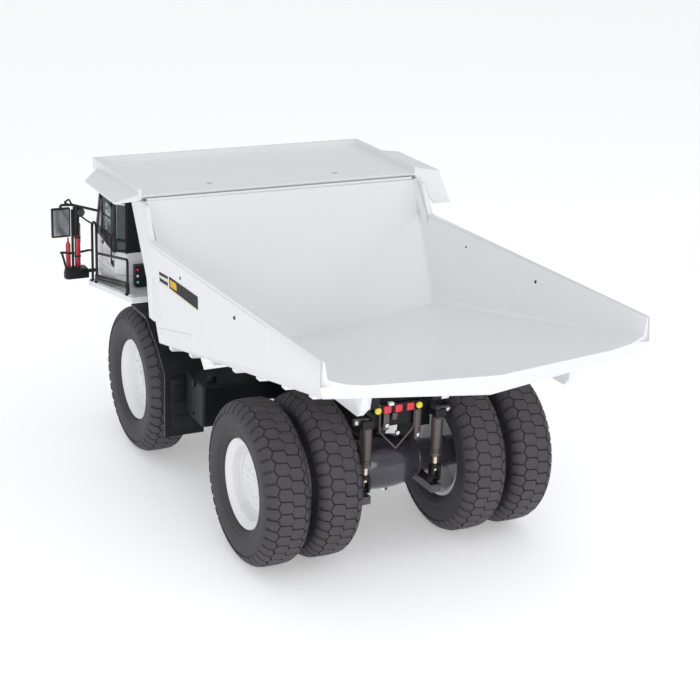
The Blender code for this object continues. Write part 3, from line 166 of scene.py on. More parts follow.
def make_skin_group():
    tree = bpy.data.node_groups.new("moulded_skin", "ShaderNodeTree")
    for name, value in {
        "Base": (0.8, 0.8, 0.8, 1.0), "Worn": (0.7, 0.7, 0.7, 1.0), "Cloud size": 60.0, "Grain size": 1500.0,
        "Worn amount": 0.5, "Gloss low": 0.3, "Gloss high": 0.45, "Edge wear": 0.0
    }.items():
        kind = "NodeSocketColor" if isinstance(value, tuple) else "NodeSocketFloat"
        tree.interface.new_socket(name=name, in_out="INPUT", socket_type=kind).default_value = value
    for name, kind in (("Color", "NodeSocketColor"), ("Roughness", "NodeSocketFloat"), ("Height", "NodeSocketFloat")):
        tree.interface.new_socket(name=name, in_out="OUTPUT", socket_type=kind)
    given, made = add_node(tree, "NodeGroupInput"), add_node(tree, "NodeGroupOutput")
    place, bend = add_node(tree, "ShaderNodeTexCoord"), add_node(tree, "ShaderNodeNewGeometry")
    cloud = add_node(tree, "ShaderNodeTexNoise", {"Detail": 5.0, "Roughness": 0.62})
    grain = add_node(tree, "ShaderNodeTexNoise", {"Detail": 3.0})
    blotch = add_node(tree, "ShaderNodeMapRange", {"From Min": 0.42, "From Max": 0.72})
    edge = add_node(tree, "ShaderNodeMapRange", {"From Min": 0.53, "From Max": 0.66})
    gloss = add_node(tree, "ShaderNodeMapRange", {"From Min": 0.3, "From Max": 0.7})
    speck, amount, rubbed = (add_node(tree, "ShaderNodeMath", operation="MULTIPLY") for _ in range(3))
    share = add_node(tree, "ShaderNodeMath", operation="ADD", use_clamp=True)
    tone = add_node(tree, "ShaderNodeMix", data_type="RGBA")
    join(
        tree, (place, "Object", cloud, "Vector"), (place, "Object", grain, "Vector"),
        (given, "Cloud size", cloud, "Scale"), (given, "Grain size", grain, "Scale"), (cloud, "Fac", blotch, "Value"),
        (blotch, "Result", speck, 0), (grain, "Fac", speck, 1), (speck, 0, amount, 0),
        (given, "Worn amount", amount, 1), (bend, "Pointiness", edge, "Value"), (edge, "Result", rubbed, 0),
        (given, "Edge wear", rubbed, 1), (amount, 0, share, 0), (rubbed, 0, share, 1), (share, 0, tone, "Factor"),
        (given, "Base", tone, "A"), (given, "Worn", tone, "B"), (cloud, "Fac", gloss, "Value"),
        (given, "Gloss low", gloss, "To Min"), (given, "Gloss high", gloss, "To Max"),
        (tone, "Result", made, "Color"), (gloss, "Result", made, "Roughness"), (grain, "Fac", made, "Height")
    )
    return tree


moulded_skin = make_skin_group()
print("node group", moulded_skin.name, len(moulded_skin.nodes), "nodes")

# %% [markdown]
# ## Finishes
# Each finish is a Principled shader fed by that group, with uniform values such as coat, metal and index set
# straight on the shader. White paint is sprayed on die-cast metal, so it has a thin clear coat and almost no
# grain. Black parts are moulded plastic with a fine satin grain. Rubber is matte with dusty clouds.

# %% Helper for a finish and the solid finishes
def finish(name, base, worn, cloud, grain, amount, gloss, bump=0.1, bump_size=0.00004, metal=0.0, coat=0.0, edge=0.0):
    material, tree, shader = new_material(name, {"Metallic": metal, "Coat Weight": coat, "Coat Roughness": 0.12})
    skin_values = {
        "Base": (*base, 1.0), "Worn": (*worn, 1.0), "Cloud size": cloud, "Grain size": grain, "Worn amount": amount,
        "Gloss low": gloss[0], "Gloss high": gloss[1], "Edge wear": edge
    }
    skin = add_node(tree, "ShaderNodeGroup", skin_values, node_tree=moulded_skin)
    raised = add_node(tree, "ShaderNodeBump", {"Strength": bump, "Distance": bump_size})
    join(
        tree, (skin, "Color", shader, "Base Color"), (skin, "Roughness", shader, "Roughness"),
        (skin, "Height", raised, "Height"), (raised, "Normal", shader, "Normal")
    )
    return material


white_paint = finish(
    "white_paint_coat", (0.83, 0.83, 0.845), (0.76, 0.76, 0.78), 35, 900, 0.25, (0.30, 0.40), 0.10, 0.00002,
    coat=0.25, edge=0.15
)
rim_white = finish(
    "rim_white", (0.82, 0.82, 0.83), (0.70, 0.70, 0.71), 90, 1600, 0.35, (0.38, 0.52), 0.12, 0.00003, coat=0.10,
    edge=0.2
)
black_plastic = finish(
    "black_plastic_grain", (0.007, 0.008, 0.010), (0.020, 0.021, 0.024), 120, 2600, 0.6, (0.34, 0.50), 0.35, 0.00003,
    edge=0.5
)
tyre_rubber = finish(
    "tyre_rubber_dusty", (0.036, 0.033, 0.038), (0.088, 0.081, 0.088), 150, 2200, 0.55, (0.52, 0.70), 0.35, 0.00004,
    edge=0.55
)
axle_paint = finish(
    "axle_paint_gloss", (0.050, 0.046, 0.060), (0.090, 0.084, 0.105), 70, 1200, 0.5, (0.12, 0.24), 0.08, 0.00003,
    metal=0.15, coat=0.5, edge=0.3
)
strut_metal = finish(
    "strut_metal_satin", (0.115, 0.098, 0.095), (0.20, 0.17, 0.165), 110, 2000, 0.6, (0.28, 0.42), 0.15, 0.00003,
    metal=0.55, edge=0.4
)
rod_metal = finish(
    "rod_metal_polish", (0.80, 0.64, 0.53), (0.62, 0.47, 0.38), 160, 3000, 0.4, (0.12, 0.22), 0.08, 0.00002, metal=1.0
)
bright_steel = finish(
    "bright_steel", (0.72, 0.73, 0.75), (0.48, 0.48, 0.50), 200, 3000, 0.5, (0.15, 0.30), 0.10, 0.00002, metal=1.0
)
red_gloss = finish(
    "red_bottle_gloss", (0.46, 0.012, 0.030), (0.30, 0.010, 0.020), 140, 2200, 0.5, (0.22, 0.34), 0.10, 0.00002,
    coat=0.6, edge=0.2
)
grey_mark = finish(
    "grey_moulding", (0.52, 0.52, 0.54), (0.40, 0.40, 0.42), 90, 1800, 0.5, (0.40, 0.55), 0.15, 0.00003
)
seat_cloth = finish(
    "seat_vinyl", (0.020, 0.021, 0.024), (0.045, 0.045, 0.050), 160, 3200, 0.6, (0.55, 0.70), 0.5, 0.00005
)
black_plastic.node_tree.nodes["Principled BSDF"].inputs["Specular IOR Level"].default_value = 0.28
print("finishes", len(bpy.data.materials))

# %% [markdown]
# Lamps are small coloured lenses. They are not lit, so a little emitted light is a painted glow that stands in for
# light bounced back from the bright reflector behind a real lens. A ribbed bump across them reads as the moulded
# prisms.
# The cab's windows are clear tinted plastic.

# %% Lenses and glass
PRISMS_PER_METRE = 5200.0 / 6.0


def lens(name, colour, painted_glow):
    # Emission Strength is painted glow: the unlit lens gives off light in place of its reflector's bounced light.
    look = {"Roughness": 0.15, "Coat Weight": 0.8, "Emission Color": (*colour, 1.0), "Emission Strength": painted_glow}
    material, tree, shader = new_material(name, look)
    place = add_node(tree, "ShaderNodeTexCoord")
    wave = add_node(tree, "ShaderNodeTexWave", {"Scale": PRISMS_PER_METRE, "Distortion": 0.0})
    blot = add_node(tree, "ShaderNodeTexNoise", {"Scale": 900.0})
    shades = {"A": (*colour, 1.0), "B": (*[0.6 * part for part in colour], 1.0)}
    tone = add_node(tree, "ShaderNodeMix", shades, data_type="RGBA")
    raised = add_node(tree, "ShaderNodeBump", {"Strength": 0.5, "Distance": 0.00008})
    join(
        tree, (place, "Object", wave, "Vector"), (place, "Object", blot, "Vector"), (blot, "Fac", tone, "Factor"),
        (tone, "Result", shader, "Base Color"), (wave, "Fac", raised, "Height"), (raised, "Normal", shader, "Normal")
    )
    return material


def window(name, tint, clear, rough=0.03):
    look = {"Base Color": (*tint, 1.0), "Transmission Weight": clear, "IOR": 1.45}
    material, tree, shader = new_material(name, look)
    place = add_node(tree, "ShaderNodeTexCoord")
    smear = add_node(tree, "ShaderNodeTexNoise", {"Scale": 220.0})
    gloss = add_node(tree, "ShaderNodeMapRange", {"To Min": rough, "To Max": rough + 0.08})
    join(
        tree, (place, "Object", smear, "Vector"), (smear, "Fac", gloss, "Value"),
        (gloss, "Result", shader, "Roughness")
    )
    return material


# The last number of each lens is its painted glow. The yellow one also makes the rear reflectors glow.
red_lens = lens("red_lens", (0.62, 0.015, 0.035), 0.35)
yellow_lens = lens("yellow_lens", (0.80, 0.66, 0.03), 0.30)
white_lens = lens("white_lens", (0.86, 0.86, 0.84), 0.25)
green_lens = lens("green_lens", (0.10, 0.62, 0.22), 0.30)
tinted_window = window("tinted_window", (0.50, 0.60, 0.60), 0.80)
dark_window = window("dark_window", (0.06, 0.085, 0.08), 0.25, 0.06)
mirror_face = finish(
    "mirror_face", (0.74, 0.75, 0.78), (0.55, 0.56, 0.60), 60, 800, 0.5, (0.06, 0.14), 0.03, 0.00002, metal=1.0
)
print("materials", len(bpy.data.materials))

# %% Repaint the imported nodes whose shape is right
def repaint(material, *names):
    for name in names:
        mesh = nodes[name].data
        mesh.materials.clear()
        mesh.materials.append(material)


def both(name):
    return "left_" + name, "right_" + name


repaint(white_paint, "load_bed", "canopy", *both("bed_beam"), "front_deck")
repaint(white_paint, "cab_shell", "cab_door", "cab_roof", "front_bumper")
repaint(rim_white, "front_left_rim", "front_right_rim", "rear_left_rims", "rear_right_rims")
repaint(black_plastic, "main_frame", "engine_block", "radiator_grille", "corner_step", "service_box")
repaint(black_plastic, "air_cleaner_box", "fuel_tank", "hydraulic_tank", *both("fender"), *both("ladder"))
repaint(black_plastic, *both("mirror"), *both("handrail"), *both("front_strut"), *both("knuckle"))
repaint(axle_paint, "rear_axle")
repaint(strut_metal, *both("rear_strut"), *both("hoist_barrel"))
repaint(rod_metal, "tie_rod")
repaint(bright_steel, *both("hoist_rod"))
repaint(red_gloss, "extinguishers")
repaint(red_lens, "rear_light_bar")
repaint(seat_cloth, "cab_seat")
repaint(tinted_window, "windscreen", "door_glass", "right_cab_glass")
repaint(dark_window, "quarter_glass", "rear_glass")
repaint(tyre_rubber, *[name for name in nodes if name.endswith("_tyre")])
print("repainted", len(nodes), "nodes")

# %% [markdown]
# ## Small tools
# Every piece below starts as a bmesh. These few tools add a block, a round bar, a bent tube or a cut-out plate
# to it, and one more turns the bmesh into an object with its finish, its body and the nodes it stands for. Block,
# bar, tube and plate take millimetres, and box_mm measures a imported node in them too.

# %% Tools for blocks, bars, tubes and plates
def set_down(bm, name, material, body, stands_for=(), crease=32.0, merge=0.000002):
    bmesh.ops.remove_doubles(bm, verts=bm.verts, dist=merge)
    bmesh.ops.recalc_face_normals(bm, faces=bm.faces)
    mesh = bpy.data.meshes.new(name)
    bm.to_mesh(mesh)
    bm.free()
    mesh.shade_smooth()
    mesh.set_sharp_from_angle(angle=math.radians(crease))
    mesh.materials.append(material)
    piece = new_object(name, mesh)
    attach(piece, body)
    if stands_for:
        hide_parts(*stands_for)
    print(name, len(mesh.polygons), "faces")
    return piece


def black_piece(bm, name, *stands_for, body="chassis"):
    return set_down(bm, name, black_plastic, body, stands_for)


def steel_piece(bm, name, body="chassis"):
    return set_down(bm, name, bright_steel, body)


def box_mm(node):
    return [corner * 1000 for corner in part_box(node)]


def whole(bm):
    return bm.verts[:] + bm.edges[:] + bm.faces[:]


def pour(part, bm):
    """Adds one bmesh to another and frees it."""
    shape = bpy.data.meshes.new("poured")
    part.to_mesh(shape)
    part.free()
    bm.from_mesh(shape)
    bpy.data.meshes.remove(shape)


def pushed_out(bm, corners, push):
    """A flat face on these corners, pushed out to a solid. Gives back the face and the far corners."""
    face = bm.faces.new([bm.verts.new(corner) for corner in corners])
    pushed = bmesh.ops.extrude_face_region(bm, geom=[face])["geom"]
    moved = [item for item in pushed if isinstance(item, bmesh.types.BMVert)]
    bmesh.ops.translate(bm, vec=push, verts=moved)
    return face, moved


def hoop(centre, across, up, count):
    """Points round a circle or an ellipse, from its two half axes."""
    turns = [math.tau * index / count for index in range(count)]
    return [Vector(centre) + Vector(across) * math.cos(turn) + Vector(up) * math.sin(turn) for turn in turns]


def round_edges(bm, edges, width, segments=2, clamp=True):
    bmesh.ops.bevel(
        bm, geom=edges, offset=width, offset_type="OFFSET", segments=segments, profile=0.5, affect="EDGES",
        material=-1, clamp_overlap=clamp
    )


def block(bm, x, y, z, edge=0.0, segments=2):
    made = bmesh.ops.create_cube(bm, size=1.0)["verts"]
    bmesh.ops.scale(bm, vec=[(high - low) * MM for low, high in (x, y, z)], verts=made)
    bmesh.ops.translate(bm, vec=[(low + high) / 2 * MM for low, high in (x, y, z)], verts=made)
    if edge:
        round_edges(bm, list({e for v in made for e in v.link_edges}), edge * MM, segments)


def bar(bm, start, end, radius, sides=16, radius_end=None, edge=0.0):
    start, end = Vector(start) * MM, Vector(end) * MM
    near, far = radius * MM, (radius if radius_end is None else radius_end) * MM
    turn = Vector((0, 0, 1)).rotation_difference(end - start).to_matrix().to_4x4()
    place = Matrix.Translation((start + end) / 2) @ turn
    length = (end - start).length
    made = bmesh.ops.create_cone(
        bm, cap_ends=True, segments=sides, radius1=near, radius2=far, depth=length, matrix=place
    )["verts"]
    if edge:
        rims = [e for e in {e for v in made for e in v.link_edges} if any(len(f.verts) > 4 for f in e.link_faces)]
        round_edges(bm, rims, edge * MM, 2)


def tube(bm, points, radius, bend=0.0, closed=False, sides=3):
    """A bent round tube. Corners are rounded with short straight steps of a given bend radius."""
    path, bend = [Vector(point) * MM for point in points], bend * MM
    rounded = []
    last = len(path) - 1
    for index, corner in enumerate(path):
        if bend <= 0 or (not closed and index in (0, last)):
            rounded.append(corner)
            continue
        before, after = path[index - 1] - corner, path[(index + 1) % len(path)] - corner
        reach = min(bend, before.length * 0.45, after.length * 0.45)
        first, second = corner + before.normalized() * reach, corner + after.normalized() * reach
        for share in (0.0, 0.25, 0.5, 0.75, 1.0):
            rounded.append(first.lerp(corner, share).lerp(corner.lerp(second, share), share))
    curve = bpy.data.curves.new("bent_tube", "CURVE")
    curve.dimensions = "3D"
    curve.bevel_depth = radius * MM
    curve.bevel_resolution = sides
    curve.use_fill_caps = True
    line = curve.splines.new("POLY")
    line.points.add(len(rounded) - 1)
    for point, place in zip(line.points, rounded):
        point.co = (*place, 1.0)
    line.use_cyclic_u = closed
    holder = new_object("bent_tube", curve)
    bpy.context.view_layer.update()
    shape = bpy.data.meshes.new_from_object(holder.evaluated_get(bpy.context.evaluated_depsgraph_get()))
    bm.from_mesh(shape)
    bpy.data.meshes.remove(shape)
    bpy.data.objects.remove(holder)


def plate(bm, outline, axis, span, edge=0.0):
    """A flat plate from its outline. The axis is the letter of its thin direction."""
    spot = {"x": lambda a, b, t: (t, a, b), "y": lambda a, b, t: (a, t, b), "z": lambda a, b, t: (a, b, t)}[axis]
    corners = [Vector(spot(a, b, span[0])) * MM for a, b in outline]
    face, moved = pushed_out(bm, corners, Vector(spot(0, 0, span[1] - span[0])) * MM)
    if edge:
        made = set(moved) | set(face.verts)
        round_edges(bm, list({e for v in made for e in v.link_edges}), edge * MM)


def lathe(bm, profile, steps, closed=False):
    """Turns (radius, distance along X) points about the X axis."""
    points = [bm.verts.new((out, 0, radius)) for radius, out in profile]
    pairs = list(zip(points, points[1:])) + ([(points[-1], points[0])] if closed else [])
    lines = [bm.edges.new(pair) for pair in pairs]
    about = {"cent": (0, 0, 0), "axis": (1, 0, 0), "angle": 2 * math.pi}
    bmesh.ops.spin(bm, geom=points + lines, steps=steps, use_merge=True, **about)


print("tools ready")

# %% [markdown]
# ## Tyres
# A quarry tyre has a plain rounded sidewall and a tread of interlocking six-sided blocks, with long lugs that run
# over the shoulder. One pitch of the tread is drawn flat, where u runs across and v runs round, then bent onto the
# crown and repeated by a spin that makes copies. The casing under it is one profile turned about the axle.

# %% Sizes of a tyre
tyre_low, tyre_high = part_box("rear_left_outer_tyre")
TYRE_RADIUS = (tyre_high.z - tyre_low.z) / 2
TREAD_DEPTH = 0.60 * MM
PITCHES = 42
PITCH = 2 * math.pi * TYRE_RADIUS / PITCHES
FLAT_HALF = 3.4 * MM
SHOULDER_BEND = 4.1 * MM
HEX_HALF_WIDTH = 2.45 * MM
HEX_HALF_LENGTH = PITCH * 0.455
ROW_SPACING = 2.10 * MM
print("tyre radius mm", round(TYRE_RADIUS * 1000, 2), "pitch mm", round(PITCH * 1000, 2))


# %% Millimetre pairs, and copies round the axle
def steps(*pairs):
    return [(radius * MM, out * MM) for radius, out in pairs]


def copied_round(bm, count):
    turn = 2 * math.pi * (count - 1) / count
    about = {"cent": (0, 0, 0), "axis": (1, 0, 0), "angle": turn}
    bmesh.ops.spin(bm, geom=whole(bm), steps=count - 1, use_duplicate=True, **about)


def ring_of(bm, count, make, *shape):
    part = bmesh.new()
    make(part, *shape)
    copied_round(part, count)
    pour(part, bm)


# %% One pitch of tread, bent onto the crown
def on_tread(u, v, height):
    across = abs(u)
    turn = max(0.0, across - FLAT_HALF) / SHOULDER_BEND
    out = min(across, FLAT_HALF) + SHOULDER_BEND * math.sin(turn) * 0.92 + height * math.sin(turn)
    radius = TYRE_RADIUS - TREAD_DEPTH - SHOULDER_BEND * (1 - math.cos(turn)) + height * math.cos(turn)
    radius -= 0.10 * MM * (out / FLAT_HALF) ** 2
    angle = v / TYRE_RADIUS
    return Vector((math.copysign(out, u), radius * math.sin(angle), radius * math.cos(angle)))


def tread_block(bm, outline, top, cuts=()):
    part = bmesh.new()
    sunk = 0.15 * MM
    _, upper = pushed_out(part, [(u, v, -sunk) for u, v in outline], (0, 0, top + sunk))
    crown = list({e for v in upper for e in v.link_edges if e.other_vert(v) in upper})
    round_edges(part, crown, 0.10 * MM, 1)
    for cut in cuts:
        bmesh.ops.bisect_plane(part, geom=whole(part), plane_co=(cut, 0, 0), plane_no=(1, 0, 0))
    bmesh.ops.recalc_face_normals(part, faces=part.faces)
    for v in part.verts:
        v.co = on_tread(*v.co)
    pour(part, bm)


def tread_pitch(bm):
    width, length = HEX_HALF_WIDTH, HEX_HALF_LENGTH
    point = width * 0.66
    for side, shift in ((1, 0.0), (-1, PITCH / 2)):
        middle = side * ROW_SPACING
        hexagon = [
            (-width, 0.0), (-point, -length), (point, -length), (width, 0.0), (point, length), (-point, length)
        ]
        tread_block(bm, [(middle + u, shift + v - 0.10 * u) for u, v in hexagon], TREAD_DEPTH)
        inner, outer = ROW_SPACING + point + 0.34 * MM, 8.45 * MM
        shoulder, end = inner + width * 0.36, length * 0.76
        lug = [(inner, 0.0), (shoulder, -length), (outer, -end), (outer, end), (shoulder, length)]
        across = shift + PITCH / 2
        cuts = [side * value * MM for value in (5.2, 5.9, 6.6, 7.3, 8.0)]
        tread_block(bm, [(side * u, across + v) for u, v in lug], TREAD_DEPTH * 0.92, cuts)
        rib = steps((6.0, -0.20), (8.3, -0.16), (8.3, 0.16), (6.0, 0.20))
        tread_block(bm, [(side * u, across + PITCH / 2 + v) for u, v in rib], TREAD_DEPTH * 0.62, cuts[1:])


def tyre_shape():
    bm = bmesh.new()
    tread_pitch(bm)
    copied_round(bm, PITCHES)
    floor_line = [on_tread(share * 8.4 * MM, 0.0, 0.0) for share in (0.0, 0.35, 0.6, 0.72, 0.82, 0.91, 1.0)]
    half = [(point.z, point.x) for point in floor_line]
    half += steps(
        (22.4, 7.22), (21.4, 7.36), (20.2, 7.38), (18.6, 7.22), (17.6, 7.02), (17.5, 7.14), (16.9, 7.02),
        (16.8, 6.86), (15.9, 6.50), (15.3, 6.15), (14.9, 5.60), (14.75, 5.00)
    )
    lathe(bm, [(r, -x) for r, x in reversed(half)] + half[1:], 84, closed=True)
    bmesh.ops.remove_doubles(bm, verts=bm.verts, dist=0.000001)
    bmesh.ops.recalc_face_normals(bm, faces=bm.faces)
    return bm


# %% Six tyres in place
def centre_of(node):
    low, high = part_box(node)
    return (low + high) / 2


pattern = bpy.data.meshes.new("tyre_pattern")
shape = tyre_shape()
shape.to_mesh(pattern)
shape.free()
TYRES = ("front_left", "front_right", "rear_left_outer", "rear_left_inner", "rear_right_outer", "rear_right_inner")
for count, word in enumerate(TYRES):
    node = word + "_tyre"
    body = word + "_wheel" if word.startswith("front") else word.rsplit("_", 1)[0] + "_wheels"
    bm = bmesh.new()
    bm.from_mesh(pattern)
    bmesh.ops.rotate(bm, cent=(0, 0, 0), matrix=Matrix.Rotation(0.31 * count, 3, "X"), verts=bm.verts)
    bmesh.ops.translate(bm, vec=centre_of(node), verts=bm.verts)
    set_down(bm, node + "_treaded", tyre_rubber, body, (node,), crease=30)
bpy.data.meshes.remove(pattern)

# %% [markdown]
# ## Wheels
# The wheels are one white casting each. The rear ones are deep dishes: a sloped lip, a straight barrel and a flat
# hub disc whose edge is toothed like a gear. The front ones are shallower with a stepped cap. Each is a turned
# profile, with its teeth and nuts added by a copying spin.

# %% Rear and front wheels
def set_wheel(bm, side, node, name, body):
    if side < 0:
        bmesh.ops.scale(bm, vec=(-1, 1, 1), verts=bm.verts)
    bmesh.ops.translate(bm, vec=centre_of(node), verts=bm.verts)
    set_down(bm, name, rim_white, body, (node,))


def nuts(bm, count, near, far, out, radius):
    ring_of(bm, count, bar, (near, 0, out), (far, 0, out), radius, 6)


LIP = 14.1
REAR_PROFILE = steps(
    (0.0, LIP - 3.5), (2.6, LIP - 3.5), (2.9, LIP - 3.75), (6.9, LIP - 3.75), (7.1, LIP - 3.95), (9.3, LIP - 3.95),
    (9.5, LIP - 4.4), (11.3, LIP - 4.4), (11.7, LIP - 4.0), (12.0, LIP - 1.6), (12.3, LIP - 1.3), (13.5, LIP - 0.25),
    (13.9, LIP), (14.5, LIP), (14.65, LIP - 0.2), (14.6, 3.6), (13.4, 2.6), (13.4, -2.6), (14.6, -3.6),
    (14.65, -LIP + 0.2), (14.5, -LIP), (13.9, -LIP), (13.3, -LIP + 0.3), (12.2, -LIP + 1.6), (11.6, -LIP + 9.0),
    (9.0, -4.2), (5.4, -4.0), (0.0, -4.0)
)
FRONT_PROFILE = steps(
    (0.0, 3.3), (2.2, 3.3), (2.6, 3.0), (2.8, 1.9), (6.2, 1.5), (6.5, 1.75), (7.4, 1.7), (7.7, 1.35), (10.6, 0.7),
    (11.6, 1.2), (12.2, 3.3), (12.6, 3.7), (13.6, 5.0), (13.9, 5.3), (14.5, 5.3), (14.65, 5.1), (14.6, 0.0),
    (14.65, -5.1), (14.5, -5.3), (13.9, -5.3), (13.2, -4.6), (12.6, -3.2), (11.9, -0.9), (7.4, -0.9), (6.8, -1.6),
    (6.5, -1.6), (6.5, -1.3), (2.4, -1.3), (2.4, 0.9), (0.0, 0.9)
)
WHEEL_STEPS = 72
for word, side in SIDES:
    bm = bmesh.new()
    lathe(bm, REAR_PROFILE, WHEEL_STEPS)
    ring_of(bm, 40, block, (LIP - 4.5, LIP - 3.78), (-0.40, 0.40), (9.1, 10.15), 0.12, 1)
    nuts(bm, 12, LIP - 3.9, LIP - 3.5, 5.0, 0.42)
    set_wheel(bm, side, f"rear_{word}_rims", f"rear_{word}_dished_wheels", f"rear_{word}_wheels")
for word, side in SIDES:
    bm = bmesh.new()
    lathe(bm, FRONT_PROFILE, WHEEL_STEPS)
    nuts(bm, 16, 1.2, 1.55, 9.1, 0.40)
    nuts(bm, 8, 1.6, 2.05, 4.6, 0.34)
    set_wheel(bm, side, f"front_{word}_rim", f"front_{word}_dished_wheel", f"front_{word}_wheel")


# %% [markdown]
# ## Load bed
# The bed is one casting: two tall walls, a sloped floor that turns up at the tail and ribs underneath. Cast and
# painted edges are never sharp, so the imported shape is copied, its flat faces are joined up, and every real edge
# gets a narrow rounded bevel that catches the light. Corners with an edge shorter than a few bevel widths are
# left sharp, because a bevel there throws a spike.

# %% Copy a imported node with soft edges
def softened(node, name, material, body, width, sharper=24.0):
    bm = bmesh.new()
    bm.from_mesh(nodes[node].data)
    bmesh.ops.remove_doubles(bm, verts=bm.verts, dist=0.000003)
    bmesh.ops.dissolve_limit(bm, angle_limit=math.radians(0.6), verts=bm.verts, edges=bm.edges)
    crowded = {v for e in bm.edges if e.calc_length() < 5 * width for v in e.verts}
    sharp = [
        e for e in bm.edges if e.calc_face_angle(0.0) > math.radians(sharper) and not crowded.intersection(e.verts)
    ]
    round_edges(bm, sharp, width, clamp=False)
    bmesh.ops.triangulate(bm, faces=[face for face in bm.faces if len(face.verts) > 4])
    piece = set_down(bm, name, material, body, (node,), merge=0.000001)
    even = piece.modifiers.new("flat_shading", "WEIGHTED_NORMAL")
    even.keep_sharp = True
    return piece


softened("load_bed", "load_bed_casting", white_paint, "bed", 0.10 * MM)

# %% [markdown]
# The outer walls carry a raised band with a stepped lower edge, a low strip near the front foot and small round
# drain holes. Each is drawn flat in side view, cut into strips so that it can follow the wall, and laid on the
# wall by looking for the wall's surface behind every point. The wall leans, so a fixed x would float or sink.

# %% Lay flat shapes on the walls
bed_shape = bmesh.new()
bed_shape.from_mesh(nodes["load_bed"].data)
bed_surface = BVHTree.FromBMesh(bed_shape)
bed_shape.free()


def wall_x(side, y, z):
    hit = bed_surface.ray_cast(Vector((side * 0.2, y, z)), Vector((-side, 0, 0)))[0]
    return side * 0.053 if hit is None else hit.x


def laid_on_wall(bm, side, outline, lift, base=0.0, edge=0.0, strip=6.0):
    part = bmesh.new()
    _, moved = pushed_out(part, [(0.0, y * MM, z * MM) for y, z in outline], (lift, 0, 0))
    if edge:
        round_edges(part, list({e for v in moved for e in v.link_edges if e.other_vert(v) in moved}), edge, 1)
    low, high = min(y for y, _ in outline), max(y for y, _ in outline)
    for index in range(1, int((high - low) / strip) + 1):
        cut = (0, (low + index * strip) * MM, 0)
        bmesh.ops.bisect_plane(part, geom=whole(part), plane_co=cut, plane_no=(0, 1, 0))
    for v in part.verts:
        v.co.x = wall_x(side, v.co.y, v.co.z) + side * (v.co.x + base)
    bmesh.ops.recalc_face_normals(part, faces=part.faces)
    pour(part, bm)


BAND = [(-35.6, 74.65), (10.0, 76.3), (37.5, 76.9), (38.8, 74.5), (63.7, 80.3), (63.7, 88.0), (-35.0, 86.2)]
STRIP = [(-30.6, 57.4), (0.1, 65.1), (-0.6, 63.2), (-30.2, 55.4)]
bm = bmesh.new()
for word, side in SIDES:
    laid_on_wall(bm, side, BAND, 0.34 * MM, -0.08 * MM, 0.12 * MM)
    laid_on_wall(bm, side, STRIP, 0.30 * MM, -0.08 * MM, 0.10 * MM)
set_down(bm, "bed_wall_band", white_paint, "bed")

# %% Drain holes, their shaded insides painted as black plugs
bm = bmesh.new()
# Each hole is a black bar sunk into the wall: painted shade standing in for the dark inside of the hole.
for word, side in SIDES:
    for y, z in ((-5.1, 82.8), (39.5, 83.5)):
        outer = wall_x(side, y * MM, z * MM) / MM + side * 0.32
        bar(bm, (outer, y, z), (side * 51.6, y, z), 0.55, 20)
black_piece(bm, "bed_wall_holes_painted_shade", body="bed")

# %% [markdown]
# Printed film on each wall: two short dark stripes with yellow lines, then a dark plate with a yellow block at its
# front. The plate is left blank. Each colour is its own thin film over the band, as tampo printing lays it down.

# %% Printed stripes
def print_ink(name, colour):
    return finish(
        name, colour, [min(1.0, part * 1.25 + 0.01) for part in colour], 200, 2600, 0.5, (0.62, 0.78), 0.08, 0.00002
    )


navy_ink = print_ink("navy_ink", (0.018, 0.014, 0.060))
plum_ink = print_ink("plum_ink", (0.040, 0.010, 0.050))
dark_ink = print_ink("dark_ink", (0.012, 0.009, 0.016))
yellow_ink = print_ink("yellow_ink", (0.72, 0.45, 0.01))
pale_ink = print_ink("pale_yellow_ink", (0.74, 0.72, 0.36))
FILMS = (
    ("plum_stripe", plum_ink, [(-24.6, 78.25), (-16.6, 79.0), (-16.6, 80.0), (-24.6, 79.4)]),
    ("pale_line", pale_ink, [(-25.2, 77.55), (-16.0, 78.2), (-16.0, 78.65), (-25.2, 78.0)]),
    ("navy_stripe", navy_ink, [(-24.5, 76.1), (-16.7, 76.6), (-16.7, 77.8), (-24.6, 77.3)]),
    ("dark_plate", dark_ink, [(-15.3, 76.4), (9.9, 76.75), (9.9, 81.1), (-15.3, 80.4)]),
    (
        "yellow_block", yellow_ink,
        [(-14.4, 77.2), (-9.0, 77.3), (-8.5, 77.8), (-8.5, 79.2), (-9.1, 79.8), (-14.4, 79.6)]
    ),
    ("pale_underline", pale_ink, [(-25.6, 75.5), (9.9, 76.42), (9.9, 76.62), (-25.6, 75.75)])
)
for film, ink, outline in FILMS:
    bm = bmesh.new()
    lift = 0.06 * MM if film != "yellow_block" else 0.09 * MM
    for word, side in SIDES:
        laid_on_wall(bm, side, outline, lift, 0.255 * MM)
    set_down(bm, "printed_" + film, ink, "bed")

# %% [markdown]
# ## Canopy
# The canopy is the bed's roof over the cab. Its floor has two small round marks from the moulding, and its raised
# rim is rounded over. It gets the same soft-edge treatment as the bed.

# %% Canopy with soft edges and its two marks
softened("canopy", "canopy_casting", white_paint, "bed", 0.06 * MM)
bm = bmesh.new()
for word, side in SIDES:
    x, y = side * 24.4, -54.7
    bar(bm, (x, y, 99.7), (x, y, 100.08), 0.95, 24, edge=0.08)
set_down(bm, "canopy_marks", grey_mark, "bed")

# %% [markdown]
# The two long beams under the bed carry its hinge plates and the lugs that the hoists push. They are castings too,
# and the bolts in the hinge plates show from the side and from below.

# %% Bed beams
for word, side in SIDES:
    softened(f"{word}_bed_beam", f"{word}_beam_casting", white_paint, "bed", 0.10 * MM)
bm = bmesh.new()
for word, side in SIDES:
    tube(bm, [(side * 15.3, 47, 54), (side * 16.1, 47, 54)], 2.1, sides=6)
steel_piece(bm, "bed_pin_caps", "bed")

